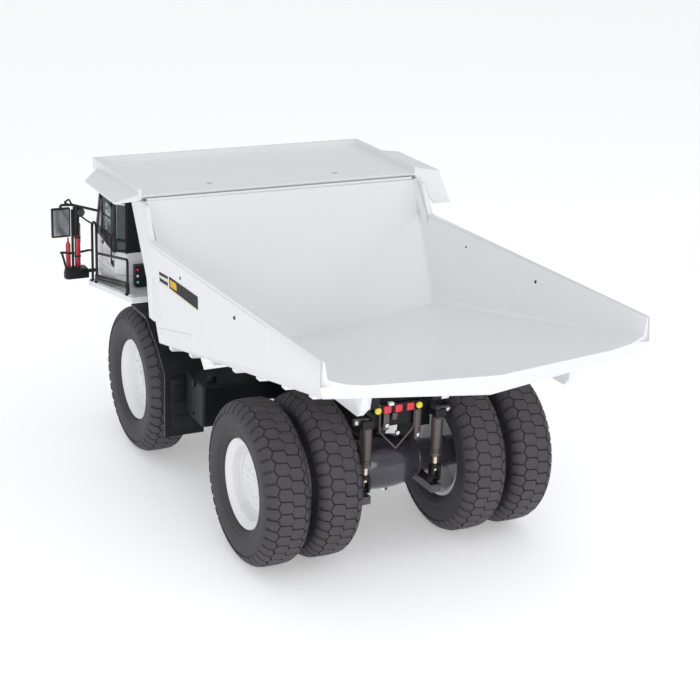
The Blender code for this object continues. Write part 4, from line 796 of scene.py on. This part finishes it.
# %% Seam between canopy and headboard
canopy_y = box_mm("canopy")[1].y
head_hit = bed_surface.ray_cast(Vector((0, 0.2, 0.0976)), Vector((0, -1, 0)))[0]
head_y = canopy_y if head_hit is None else head_hit.y * 1000
print("headboard rear face", round(head_y, 2), "canopy rear", round(canopy_y, 2))
bm = bmesh.new()
tube(bm, [(x, head_y - 0.4, 98.3) for x in (-51, 51)], 0.55, sides=4)
set_down(bm, "headboard_seam", white_paint, "bed")

# %% [markdown]
# ## Cab
# The cab is a white box with a black upper half: black frames hold dark tinted windows, and a slatted black panel
# closes the rear corner. The white door has a small black handle. Frames are thin raised bars over the packed
# shell, so the shell keeps its shape and the windows keep their places.

# %% Cab shell and door with soft edges
softened("cab_shell", "cab_shell_panels", white_paint, "chassis", 0.07 * MM)
softened("cab_door", "cab_door_panel", white_paint, "chassis", 0.07 * MM)
cab_low, cab_high = box_mm("cab_shell")
door_low, door_high = box_mm("cab_door")
LEFT_FACE = cab_high.x
RIGHT_FACE = cab_low.x
REAR_FACE = cab_high.y
print("cab", [round(v, 1) for v in cab_low], [round(v, 1) for v in cab_high])

# %% Black window frames and belt
BELT = 76
HEAD = cab_high.z
FRONT_FOOT = cab_low.y


def screen_y(z):
    return FRONT_FOOT + 5.5 * max(0.0, z - 72) / (HEAD - 72)


def side_frame(bm, x, out):
    """Black frame round a side: front pillar, head rail, rear pillar and a belt that rises rearwards."""
    span = sorted((x - out * 0.2, x + out * 0.32))
    front, rear = screen_y(BELT), REAR_FACE - 3.6
    top, inner = screen_y(HEAD), front + 2.6
    for outline in (
        [
            (screen_y(73.5) + 0.2, 73.5), (front + 0.2, BELT + 0.9), (top + 0.2, HEAD), (top + 2.4, HEAD),
            (inner, BELT + 0.9), (inner, 73.6)
        ],
        [(top + 1, HEAD - 1.9), (rear, HEAD - 1.9), (rear, HEAD), (top + 1, HEAD)],
        [(rear - 1.7, 71.6), (rear, 71.2), (rear, HEAD), (rear - 1.7, HEAD)],
        [(front + 1, 74), (rear - 0.8, 71), (rear - 0.8, BELT + 0.3), (front + 1, BELT + 0.9)]
    ):
        plate(bm, outline, "x", span, 0.08)


bm = bmesh.new()
side_frame(bm, LEFT_FACE, 1)
side_frame(bm, RIGHT_FACE, -1)
corner_front = Vector((LEFT_FACE, REAR_FACE - 3.4, 0))
corner_rear = Vector((LEFT_FACE - 3.4, REAR_FACE, 0))
outward = Vector((0.32, 0.32, 0))
for share in (0.06, 0.94):
    foot = corner_front.lerp(corner_rear, share) + outward * 0.4
    tube(bm, [(foot.x, foot.y, 71.6), (foot.x, foot.y, HEAD - 0.2)], 0.42, sides=2)
for z in (72.2, BELT + 0.1, HEAD - 0.7):
    a, b = corner_front + outward * 0.5, corner_rear + outward * 0.5
    tube(bm, [(a.x, a.y, z), (b.x, b.y, z)], 0.42, sides=2)
black_piece(bm, "cab_window_frames")

# %% Black upper frame of the door
pane_low, pane_high = box_mm("door_glass")
bm = bmesh.new()
frame_x = (LEFT_FACE - 0.1, LEFT_FACE + 0.36)
for y, z in (
    ((door_low.y, pane_low.y + 0.3), (BELT - 2, door_high.z)),
    ((pane_high.y - 0.3, REAR_FACE - 3.6), (BELT - 3.6, door_high.z)),
    ((door_low.y, door_high.y), (pane_high.z - 0.3, door_high.z)),
    ((door_low.y, door_high.y), (BELT - 1, pane_low.z + 0.4))
):
    block(bm, frame_x, y, z, 0.08, 1)
black_piece(bm, "door_upper_frame")

# %% Dark lower panes and the slatted corner panel
bm = bmesh.new()
inset = outward * 0.25
a, b = corner_front + inset, corner_rear + inset
top = BELT - 0.1
part_face = [(a.x, a.y, 72.4), (b.x, b.y, 72.4), (b.x, b.y, top), (a.x, a.y, top)]
face = bm.faces.new([bm.verts.new(Vector(point) * MM) for point in part_face])
bmesh.ops.solidify(bm, geom=[face], thickness=0.1 * MM)
set_down(bm, "cab_corner_panel", dark_window, "chassis")

bm = bmesh.new()
y = (REAR_FACE + 0.02, REAR_FACE + 0.5)
block(bm, (42.4, 48.7), y, (71.8, HEAD - 0.3), 0.1, 1)
for index in range(7):
    x = 43 + index * 0.88
    block(bm, (x, x + 0.42), (y[1] - 0.1, y[1] + 0.35), (72.4, HEAD - 0.9), 0.06, 1)
black_piece(bm, "cab_rear_louvre")

bm = bmesh.new()
low, high = box_mm("rear_glass")
rim = 0.9
for x, z in (
    ((low.x - 0.8, high.x + 0.8), (low.z - rim, low.z)), ((low.x - 0.8, high.x + 0.8), (high.z, high.z + rim)),
    ((low.x - rim, low.x), (low.z - rim, high.z + rim)), ((high.x, high.x + rim), (low.z - rim, high.z + rim))
):
    block(bm, x, (REAR_FACE - 0.4, REAR_FACE + 0.3), z, 0.06, 1)
low, high = box_mm("windscreen")
sides = (low.x - 1.2, high.x + 1.2)
for x in sides:
    tube(bm, [(x, screen_y(74.5) - 0.1, 74.5), (x, screen_y(HEAD) - 0.1, HEAD - 0.4)], 0.8, sides=2)
for z in (75.2, HEAD - 1):
    tube(bm, [(x, screen_y(z) - 0.1, z) for x in sides], 0.6, sides=2)
for x in (27, 39.5):
    tube(bm, [(x + lean, screen_y(z) - 0.8, z) for lean, z in ((0.0, 75), (6.5, 87))], 0.22, sides=2)
black_piece(bm, "cab_seals_and_wipers")

# %% Door handle, hinges, sliding window bar, pull handle and roof lamps
bm = bmesh.new()
block(bm, (LEFT_FACE - 0.1, LEFT_FACE + 0.4), (door_low.y + 1, door_low.y + 2.4), (71.2, 72.4), 0.15)
for z in (67.2, 79):
    bar(bm, *[(LEFT_FACE + 0.15, door_high.y - 0.4, z + half) for half in (-0.7, 0.7)], 0.32, 10)
block(bm, (pane_high.x - 0.1, pane_high.x + 0.3), (pane_low.y, pane_high.y), (82.2, 82.7), 0.08, 1)
pull = ((0.3, 66), (1.1, 67.2), (1.1, 77), (0.3, 78.2))
tube(bm, [(LEFT_FACE + out, door_high.y + 0.6, z) for out, z in pull], 0.28, 0.6, sides=2)
black_piece(bm, "cab_door_fittings")

bm = bmesh.new()
for x in (22.5, 31, 39.5, 47.5):
    bar(bm, (x, FRONT_FOOT + 4.2, HEAD + 1), (x, FRONT_FOOT + 3.7, HEAD + 1), 0.7, 16)
set_down(bm, "cab_roof_lamps", white_lens, "chassis")

# %% Inside the cab
bm = bmesh.new()
low, high = box_mm("cab_seat")
middle_x, back = (low.x + high.x) / 2, high.y
block(bm, (low.x, high.x), (low.y, back - 1.4), (low.z + 3, low.z + 7), 1.1, 3)
block(bm, (low.x + 0.2, high.x - 0.2), (back - 2.2, back), (low.z + 6, high.z - 4.2), 0.9, 3)
block(bm, (middle_x - 1.9, middle_x + 1.9), (back - 1.8, back - 0.4), (high.z - 3.8, high.z), 0.6, 3)
block(bm, (low.x + 0.8, high.x - 0.8), (low.y + 0.8, back - 1.8), (low.z, low.z + 3.2), 0.3)
for x in (low.x - 0.2, high.x + 0.2):
    block(bm, (x - 0.6, x + 0.6), (low.y + 1.2, back - 2.2), (low.z + 8.2, low.z + 9.2), 0.3)
    tube(bm, [(x, back - 2.6, low.z + 5.2), (x, back - 2.6, low.z + 8.8)], 0.4, sides=2)
set_down(bm, "driver_seat", seat_cloth, "chassis", ("cab_seat",))

bm = bmesh.new()
dash_y = FRONT_FOOT + 1.6
plate(
    bm, [(dash_y, 64.8), (dash_y + 4, 64.8), (dash_y + 4.6, 72.2), (dash_y + 2.2, 74.4), (dash_y + 0.2, 74.4)], "x",
    (RIGHT_FACE + 1.8, LEFT_FACE - 1.8), 0.3
)
wheel_c = Vector((middle_x, dash_y + 5.8, 74.8))
tube(bm, hoop(wheel_c, (2.3, 0, 0), (0, 1.84, 1.38), 20), 0.24, closed=True, sides=2)
tube(bm, [(wheel_c.x, dash_y + 3, 71.2), wheel_c], 0.4, sides=2)
for turn in (0.5, 2.6, 4.7):
    spoke = Vector((2.3 * math.cos(turn), 1.8 * math.sin(turn), 1.4 * math.sin(turn)))
    tube(bm, [wheel_c, wheel_c + spoke], 0.2, sides=2)
black_piece(bm, "dashboard_and_wheel")

# %% [markdown]
# ## Rails, mirrors and the front corner
# Thin bent tubes guard the cab's side and the deck. On the real truck they are welded pipe, and on the model one
# black moulding. Each run is a bevelled curve with rounded corners, made into mesh, which is far smoother than
# straight bars that meet in knots. The corner holds a step, two red bottles and the large wing mirror.

# %% Rail beside the cab door
deck_low = box_mm("front_deck")[0]


def deck_top(y):
    return 54.5 + 7.7 * (y + 99.5) / 48.5


RAIL_X = 54
bm = bmesh.new()


def on_deck(x, *places):
    return [(x, y, deck_top(y) + rise) for y, rise in places]


def feet(bm, *places):
    """A small square flange on the deck at the foot of each upright."""
    for x, y in places:
        block(bm, (x - 0.9, x + 0.9), (y - 0.9, y + 0.9), (deck_top(y) + 0.05, deck_top(y) + 0.6), 0.12, 1)


tube(bm, on_deck(RAIL_X, (-96, 0.2), (-96, 22.8), (-91.2, 22.8), (-91.2, 0.2)), 0.5, 2.2, sides=4)
tube(bm, on_deck(RAIL_X, (-91.2, 11.4), (-57, 13), (-57, 0.2)), 0.48, 1.2, sides=4)
for lift in (0.0, 1.1):
    tube(bm, on_deck(RAIL_X, (-91.2, 1.4 + lift), (-57.2, 3 + lift)), 0.75, sides=4)
feet(bm, *[(RAIL_X, y) for y in (-96, -91.2, -57)])
for y in (-91.2, -57):
    bar(bm, *on_deck(RAIL_X, (y, 0.8), (y, 3)), 0.72, 12)
black_piece(bm, "cab_side_rail", "left_handrail")

# %% Rail round the right deck
bm = bmesh.new()
X, inner_x = -53, -38
front_y, rear_y = -98.5, -55
for rise, radius, bend in ((16, 0.48, 1.8), (8, 0.42, 1.4)):
    run = on_deck(inner_x, (front_y, rise)) + on_deck(X, (front_y, rise), (rear_y, rise))
    if rise > 10:
        run = on_deck(inner_x, (front_y, 0.2)) + run + on_deck(X, (rear_y, 0.2))
    tube(bm, run, radius, bend, sides=4)
for y in (front_y + 1.5, -77):
    tube(bm, on_deck(X, (y, 0.2), (y, 16)), 0.45, sides=4)
feet(bm, (inner_x, front_y), (X, front_y + 1.5), (X, -77), (X, rear_y))
black_piece(bm, "right_deck_rail", "right_handrail")

# %% Corner step with its hoop and post
POST = Vector((60.5, -99.2, 0.0))
STEP_TOP = 60
bm = bmesh.new()
step_outline = [
    (55, -101.6), (56.2, -102), (61.2, -101.8), (63.4, -100.8), (64.2, -99), (64, -96.8), (62.8, -96.2), (55.2, -96.2)
]
plate(bm, step_outline, "z", (56.3, STEP_TOP - 0.9), 0.4)
plate(bm, [(x * 0.94 + 3.6, y * 0.94 - 5.9) for x, y in step_outline], "z", (STEP_TOP - 1, STEP_TOP), 0.2)
block(bm, (47, 55.6), (-101.2, -100), (57.2, 58.4), 0.2, 1)
block(bm, (47, 48.2), (-101.2, deck_low.y + 0.4), (54.9, 58.4), 0.2, 1)
tube(bm, [(POST.x, POST.y, 59), (POST.x, POST.y, 82.2)], 0.5, sides=4)
tube(
    bm,
    [
        (63.4, -97.4, 59.4), (65, -97.8, 66.2), (64.6, -101.5, 65.6), (59, -101.8, 64.6), (54.5, -98.5, 66.4),
        (54.1, -96.2, 66.8)
    ],
    0.42, 1.2, sides=4
)
for x in (57, 59, 61):
    block(bm, (x, x + 0.7), (-101, -96.8), (STEP_TOP - 0.2, STEP_TOP + 0.1), 0.04, 1)
black_piece(bm, "corner_step_moulding", "corner_step")

# %% Red bottles
bm = bmesh.new()


def bottle(bm, x, y, foot, top, radius):
    bar(bm, (x, y, foot), (x, y, top - 2.2), radius, 20, edge=0.3)
    bar(bm, (x, y, top - 2.4), (x, y, top - 1.2), radius * 0.85, 16, radius * 0.40)
    bar(bm, (x, y, top - 1.2), (x, y, top), radius * 0.38, 12)


TALL_X, SHORT_X, BOTTLE_Y = POST.x - 1.9, POST.x + 1.7, POST.y - 0.2
bottle(bm, TALL_X, BOTTLE_Y, STEP_TOP + 0.2, 77.8, 1.1)
bottle(bm, SHORT_X, BOTTLE_Y, STEP_TOP + 0.2, 71.6, 0.9)
set_down(bm, "red_bottles", red_gloss, "chassis", ("extinguishers",))

bm = bmesh.new()
for x, radius, z in ((TALL_X, 1.1, 64), (TALL_X, 1.1, 71.2), (SHORT_X, 0.9, 65.5)):
    bar(bm, (x, BOTTLE_Y, z), (x, BOTTLE_Y, z + 0.7), radius + 0.12, 20)
hose_x, hose_y = POST.x - 3.1, POST.y - 0.8
tube(bm, [(TALL_X, BOTTLE_Y, 77.6), (hose_x, hose_y, 76.4), (hose_x, hose_y, 69)], 0.22, 0.8, sides=2)
bar(bm, (POST.x - 1.4, POST.y + 0.2, 72.2), (POST.x - 1.4, POST.y + 0.2, 83.2), 1.2, 20, edge=0.2)
black_piece(bm, "bottle_straps")

# %% Wing mirrors
MIRROR_Y = -99.2


def mirror_head(bm, side):
    y = MIRROR_Y
    x = sorted((side * 61.3, side * 68.4))
    block(bm, x, (y - 0.8, y + 0.6), (72, 83.2), 0.5, 3)
    for z in (72.3, 82.6):
        block(bm, (x[0] + 0.2, x[1] - 0.2), (y + 0.4, y + 0.9), (z, z + 0.5), 0.15, 1)
    for x0 in (x[0] + 0.1, x[1] - 0.6):
        block(bm, (x0, x0 + 0.5), (y + 0.4, y + 0.9), (72.3, 83), 0.15, 1)


bm = bmesh.new()
mirror_head(bm, 1)
tube(
    bm, [(64.85, MIRROR_Y, 82.6), (64.85, MIRROR_Y, 84.2), (60.5, MIRROR_Y, 84), (52.7, -93.5, 82.6)], 0.5, 1, sides=4
)
tube(
    bm, [(61, MIRROR_Y, 83.8), (63.4, MIRROR_Y, 85.1), (61.6, MIRROR_Y, 86.2), (60.6, MIRROR_Y, 84.2)], 0.34, 0.5,
    sides=3
)
tube(bm, [(57.8, -97.6, 83.5), (57.8, -97.8, 80), (56.2, -96.6, 78.6), (54.2, -96.2, 77.2)], 0.32, 0.8, sides=3)
bar(bm, (57.8, -98.6, 81.2), (57.8, -97.4, 81.2), 1.7, 24, edge=0.3)
black_piece(bm, "left_wing_mirror", "left_mirror")

bm = bmesh.new()
mirror_head(bm, -1)
tube(
    bm,
    [
        (-64.85, MIRROR_Y, 82.6), (-64.85, MIRROR_Y - 0.4, 84.2), (-50, MIRROR_Y - 1.6, 84.2),
        (-50, MIRROR_Y - 1.6, 55.7), (-50, deck_low.y - 0.4, 54.1)
    ],
    0.5, 1.2, sides=4
)
black_piece(bm, "right_wing_mirror", "right_mirror")

bm = bmesh.new()
for word, side in SIDES:
    x = sorted((side * 61.8, side * 67.9))
    block(bm, x, (MIRROR_Y + 0.5, MIRROR_Y + 0.7), (72.7, 82.6), 0.1, 1)
bar(bm, (57.8, -97.3, 81.2), (57.8, -97.25, 81.2), 1.3, 24)
set_down(bm, "mirror_glasses", mirror_face, "chassis")

# %% [markdown]
# ## Tail of the frame
# Between the rear wheels a black bar carries a red panel with round yellow reflectors, red squares and white
# lamps. Two suspension struts hang beside it, and the axle housing with its drain plug lies behind. They are all
# small moulded or turned pieces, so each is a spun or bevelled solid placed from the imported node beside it.

# %% Light bar, reflectors and lamps
bar_low, bar_high = box_mm("rear_light_bar")
BAR_BACK = bar_high.y
bm = bmesh.new()
block(bm, (bar_low.x, bar_high.x), (bar_low.y, bar_high.y - 0.3), (bar_low.z, bar_high.z), 0.3)
black_piece(bm, "light_bar_housing", "rear_light_bar")
bm = bmesh.new()
for x in (-4.3, -0.1, 3.9):
    block(bm, (x - 1.3, x + 1.3), (BAR_BACK - 0.5, BAR_BACK + 0.3), (47.6, 50.1), 0.3)
set_down(bm, "red_tail_lamps", red_lens, "chassis")

bm = bmesh.new()
for x in (7.4, -7.4):
    bar(bm, (x, BAR_BACK - 0.2, 49), (x, BAR_BACK + 0.6, 49), 1.1, 20, edge=0.2)
set_down(bm, "yellow_reflectors", yellow_lens, "chassis")

bm = bmesh.new()
for x, z in ((7.8, 50.8), (2.6, 50.7)):
    block(bm, (x - 0.9, x + 0.9), (BAR_BACK - 1, BAR_BACK + 0.4), (z - 0.5, z + 0.5), 0.2)
set_down(bm, "white_tail_lamps", white_lens, "chassis")

# %% Brackets, towing frame and bolts under the bar
bm = bmesh.new()
for x, low, high, half in ((4, 41.9, 47.4, 1), (1, 45, 47.4, 0.9), (-7.5, 37.1, 47.4, 1.1)):
    block(bm, (x - half, x + half), (BAR_BACK - 0.9, BAR_BACK - 0.1), (low, high), 0.2)
for side in (1, -1):
    block(bm, sorted((side * 12, side * 17.2)), (46.6, 48), (46.4, 48.4), 0.2)
frame_y = BAR_BACK - 0.6
for x in (6.2, -6.2):
    tube(bm, [(0.0, frame_y, 35), (x, frame_y, 41.5), (x, frame_y, 47.8)], 0.3, 1, sides=3)
set_down(bm, "tail_brackets", strut_metal, "chassis")

bm = bmesh.new()
for x, z in ((0.0, 40.6), (4, 43.6), (-7.5, 38.8), (-16.3, 47.4), (16.3, 47.4)):
    y = BAR_BACK - 0.1 if abs(x) < 10 else 47.9
    bar(bm, (x, y - 0.4, z), (x, y + 0.6, z), 0.8, 6, edge=0.12)
steel_piece(bm, "tail_bolts")

# %% Rear struts: tube, collar, rod, clevis and pins
STRUT = (
    (0, 45.2), (1.4, 45.6), (1.9, 45), (1.9, 34.7), (1.6, 34.3), (1.6, 33.7), (1.9, 33.4), (1.9, 32.2), (1.3, 31.8),
    (0, 31.8)
)
CLEVIS = ((-1.2, 28.6), (1.2, 28.6), (1.4, 25.8), (1.1, 23.2), (-1.1, 22.4), (-1.4, 25))
for word, side in SIDES:
    x, y = side * 12.7, 48.1
    bm = bmesh.new()
    for (r0, z0), (r1, z1) in zip(STRUT, STRUT[1:]):
        if abs(z0 - z1) > 0.1 and max(r0, r1) > 0.1:
            bar(bm, (x, y, z1), (x, y, z0), max(r1, 0.2), 24, max(r0, 0.2))
    tube(bm, [(x, y, 45.2), (x, y - 0.6, 48)], 1.2, sides=4)
    set_down(bm, f"{word}_strut_tube", strut_metal, "chassis", (f"{word}_rear_strut",))
    bm = bmesh.new()
    bar(bm, (x, y, 27), (x, y, 32.2), 1.1, 20)
    set_down(bm, f"{word}_strut_rod", rod_metal, "chassis")
    bm = bmesh.new()
    bar(bm, (x, y, 28.4), (x, y, 29.4), 1.5, 20, edge=0.2)
    for leg in (-1, 1):
        plate(bm, [(y + out, z) for out, z in CLEVIS], "x", sorted((x + leg * 0.8, x + leg * 1.7)), 0.2)
    block(bm, (x - 1.7, x + 1.7), (y - 1.2, y + 1.2), (27.6, 28.8), 0.3)
    bar(bm, (x - 2.2, y, 24.3), (x + 2.2, y, 24.3), 0.6, 16, edge=0.1)
    black_piece(bm, f"{word}_strut_clevis")

# %% Rear axle housing: a rounded sleeve, four ribs and the drain plug
AXLE = Vector((0, 35, 26.6))
HALF_BOWL = steps((0.0, 18.4), (5.05, 18.4), (5.68, 14.8), (6.48, 11.1), (7.92, 7.7), (8.52, 4.3), (8.76, 2.0))
bm = bmesh.new()
lathe(bm, HALF_BOWL + [(8.82 * MM, 0.0)] + [(radius, -out) for radius, out in reversed(HALF_BOWL)], 64)
for x, radius, wire in ((-11.1, 6.6, 0.3), (11.1, 6.6, 0.3), (-23, 5.2, 0.4), (23, 5.2, 0.4)):
    tube(bm, hoop((x, 0, 0), (0, radius, 0), (0, 0, radius), 40), wire, closed=True, sides=2)
bmesh.ops.translate(bm, vec=AXLE * MM, verts=bm.verts)
set_down(bm, "axle_fittings", axle_paint, "chassis")
bm = bmesh.new()
bar(bm, (0, AXLE.y + 2, AXLE.z - 7.8), (0, AXLE.y + 2.2, AXLE.z - 9.2), 1.5, 6, edge=0.1)
steel_piece(bm, "axle_drain_plug")

# %% [markdown]
# ## Hoists
# Each hoist is a tube that swings on a foot pin and a bright rod that pushes the bed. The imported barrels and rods
# already meet their pins, so they stay in their metal finishes. The collars and pin caps are added on top, each
# riding with the half that it is bolted to.

# %% Hoist collars and pin caps
for word, side in SIDES:
    foot, head = (Vector((side * 15.3, *place)) for place in ((5, 24), (17, 54.8)))
    along = (head - foot).normalized()
    bm = bmesh.new()
    for start, end, radius in ((4, 5.2, 2.15), (26.2, 28.4, 2.2)):
        bar(bm, foot + along * start, foot + along * end, radius, 24, edge=0.2)
    black_piece(bm, f"{word}_hoist_collars", body=f"{word}_hoist_tube")
    bm = bmesh.new()
    bar(bm, (side * 16.3, head.y, head.z), (side * 17, head.y, head.z), 1.1, 20, edge=0.2)
    steel_piece(bm, f"{word}_hoist_pin_cap", f"{word}_hoist_piston")

# %% [markdown]
# ## Front end
# From the front the truck shows a slatted grille between two ladders, a bumper with lamps, and a deck above. The
# grille's slots are cut in the imported node. Thin slats and lamp glasses make it read as a radiator and not as a
# box. The deck has raised anti-slip lozenges, as the plates on a real mining truck do.

# %% Deck, cab roof and bumper with soft edges
for node, name in (("front_deck", "deck_panel"), ("cab_roof", "cab_roof_panel"), ("front_bumper", "bumper_moulding")):
    softened(node, name, white_paint, "chassis", 0.12 * MM)

# %% Grille slats, frame and badge
low, high = box_mm("radiator_grille")
bm = bmesh.new()
for index in range(11):
    x = -15 + index * 3
    block(bm, (x - 0.35, x + 0.35), (low.y - 0.4, low.y + 0.6), (low.z + 1.6, high.z - 1.6), 0.1, 1)
rim_y = (low.y - 0.5, low.y + 0.4)
for x in (low.x + 0.7, high.x - 0.7):
    block(bm, (x - 0.6, x + 0.6), rim_y, (low.z + 0.4, high.z - 0.4), 0.2, 1)
for z in (low.z + 0.9, high.z - 0.9):
    block(bm, (low.x + 0.4, high.x - 0.4), rim_y, (z - 0.6, z + 0.6), 0.2, 1)
black_piece(bm, "grille_slats")

bm = bmesh.new()
block(bm, (-3, 3), (low.y - 0.7, low.y - 0.3), (high.z - 6.2, high.z - 3.4), 0.2)
steel_piece(bm, "blank_badge")

# %% Headlamps, fog lamps and towing eyes in the bumper
front = box_mm("front_bumper")[0].y
bm, rims, marks = bmesh.new(), bmesh.new(), bmesh.new()
for side in (1, -1):
    for x in (side * 20.5, side * 35.5):
        bar(bm, (x, front + 0.6, 26.2), (x, front - 0.4, 26.2), 1.7, 24, edge=0.3)
        ring = hoop((x, front - 0.1, 26.2), (2, 0, 0), (0, 0, 2), 28)
        tube(rims, ring, 0.3, closed=True, sides=2)
    block(marks, sorted((side * 38.5, side * 41.2)), (front - 0.3, front + 0.4), (28.3, 29.7), 0.2)
    for x in ((side * 9.2, side * 10.4), (side * 12, side * 13.2)):
        block(rims, sorted(x), (front - 0.6, front + 0.6), (21.2, 24.6), 0.3)
    bar(rims, (side * 8.9, front - 0.1, 22.7), (side * 13.5, front - 0.1, 22.7), 0.5, 14)
set_down(bm, "headlamps", white_lens, "chassis")
black_piece(rims, "lamp_rims_and_eyes")
set_down(marks, "turn_lamps", yellow_lens, "chassis")

# %% Ladders: side rails and treads with grip
for word, side in SIDES:
    low, high = box_mm(f"{word}_ladder")
    foot, head = Vector((side * 26, -102.5, low.z)), Vector((side * 26, -100.2, high.z))
    bm = bmesh.new()
    for x in (-4, 4):
        tube(bm, [foot + Vector((x, 0, 0.3)), head + Vector((x, 0, 0))], 0.5, sides=3)
    for index in range(7):
        place = foot.lerp(head, (index + 0.45) / 7)
        block(
            bm, (place.x - 4.2, place.x + 4.2), (place.y - 0.5, place.y + 1.1), (place.z - 0.3, place.z + 0.3), 0.1, 1
        )
        for grip in range(5):
            x = place.x - 3.2 + grip * 1.6
            block(bm, (x - 0.3, x + 0.3), (place.y - 0.4, place.y + 1), (place.z + 0.2, place.z + 0.45), 0.05, 1)
    black_piece(bm, f"{word}_ladder_rungs", f"{word}_ladder")

# %% Anti-slip lozenges on the deck
bm = bmesh.new()
made = 0
for row in range(26):
    for column in range(15):
        x = -50.5 + column * 4.6 + (row % 2) * 2.3
        y = -96 + row * 1.6
        if x > 12 and y < -69:
            continue
        turn = 0.7 if (row + column) % 2 else -0.7
        size = Vector((0.75 * math.cos(turn), 0.75 * math.sin(turn), 0))
        place = Vector((x, y, deck_top(y) + 0.06))
        bar(bm, place - size, place + size, 0.16, 4, 0.1)
        made += 1
print("deck lozenges", made)
set_down(bm, "deck_grip", white_paint, "chassis")

# %% [markdown]
# ## Sides and underneath
# Fenders, tanks, the engine and the steering show between the wheels. On the model they are black mouldings with
# caps and bolts. The fender's rear flap ends in a light edge.

# %% Fender flaps
FLAP = ((36.6, 21.5), (40.5, 19.6), (48.2, 20), (48.2, 38.5), (36.6, 38.5))
for word, side in SIDES:
    bm = bmesh.new()
    plate(bm, [(side * x, z) for x, z in FLAP], "y", (-30.1, -29.6), 0.2)
    for z in (24.5, 30, 35.5):
        block(bm, sorted((side * 37.8, side * 47.2)), (-29.8, -29.3), (z - 0.4, z + 0.4), 0.15, 1)
    black_piece(bm, f"{word}_flap_ribs")
    bm = bmesh.new()
    tube(bm, [(side * 49.4, -30.3, 18.2), (side * 49.6, -30.3, 39.5)], 0.38, sides=2)
    set_down(bm, f"{word}_flap_edge", grey_mark, "chassis")

# %% Tank caps and drain cocks
for node in ("fuel_tank", "hydraulic_tank"):
    low, high = box_mm(node)
    side = 1 if low.x + high.x > 0 else -1
    outer, y = (high.x if side > 0 else low.x), (low.y + high.y) / 2
    bm = bmesh.new()
    for z, out, radius, count, edge in ((high.z - 3.6, 0.7, 1.4, 24, 0.2), (low.z + 2.4, 0.5, 0.6, 6, 0.0)):
        bar(bm, (outer - side * 0.2, y, z), (outer + side * out, y, z), radius, count, edge=edge)
    black_piece(bm, f"{node}_caps")

# %% Engine: rocker covers and pipes
low, high = box_mm("engine_block")
PIPE_Z = 38.5
bm = bmesh.new()
for side in (1, -1):
    for index in range(5):
        y = low.y + 6 + index * 9.5
        block(bm, sorted((side * 2, side * 7.5)), (y - 3.4, y + 3.4), (high.z - 0.4, high.z + 1.2), 0.5)
    pipe_x = side * (high.x + 0.4)
    tube(bm, [(pipe_x, y, PIPE_Z) for y in (low.y + 4, high.y - 4)], 0.9, sides=4)
    for index in range(6):
        y = low.y + 6 + index * 8.5
        tube(bm, [(side * (high.x - 1), y, PIPE_Z), (pipe_x, y, PIPE_Z)], 0.6, sides=3)
set_down(bm, "engine_covers", axle_paint, "chassis")

# %% Steering: kingpin nuts
KINGPIN_X, KINGPIN_Y = 33, -64.2
for word, side in SIDES:
    top = box_mm(f"{word}_knuckle")[1].z
    bm = bmesh.new()
    bar(bm, *[(side * KINGPIN_X, KINGPIN_Y, top + half) for half in (-0.4, 0.4)], 1.8, 6, edge=0.2)
    steel_piece(bm, f"{word}_kingpin_nut", f"{word}_steering")

# %% Service box lamps and the bead along the deck's edge
box_high = box_mm("service_box")[1]
for name, lens_material, z in (
    ("red_signal", red_lens, 66), ("white_signal", white_lens, 63.7), ("green_signal", green_lens, 61.4)
):
    bm = bmesh.new()
    bar(bm, *[(box_high.x - 0.8, box_high.y + out, z) for out in (-0.2, 0.4)], 0.45, 16, edge=0.1)
    set_down(bm, name, lens_material, "chassis")

bm = bmesh.new()
tube(bm, [(53.5, -97.5, 54.6), (53.5, -80, 57.4), (53.5, -54.5, 61.5)], 0.75, sides=3)
set_down(bm, "deck_edge_bead", white_paint, "chassis")
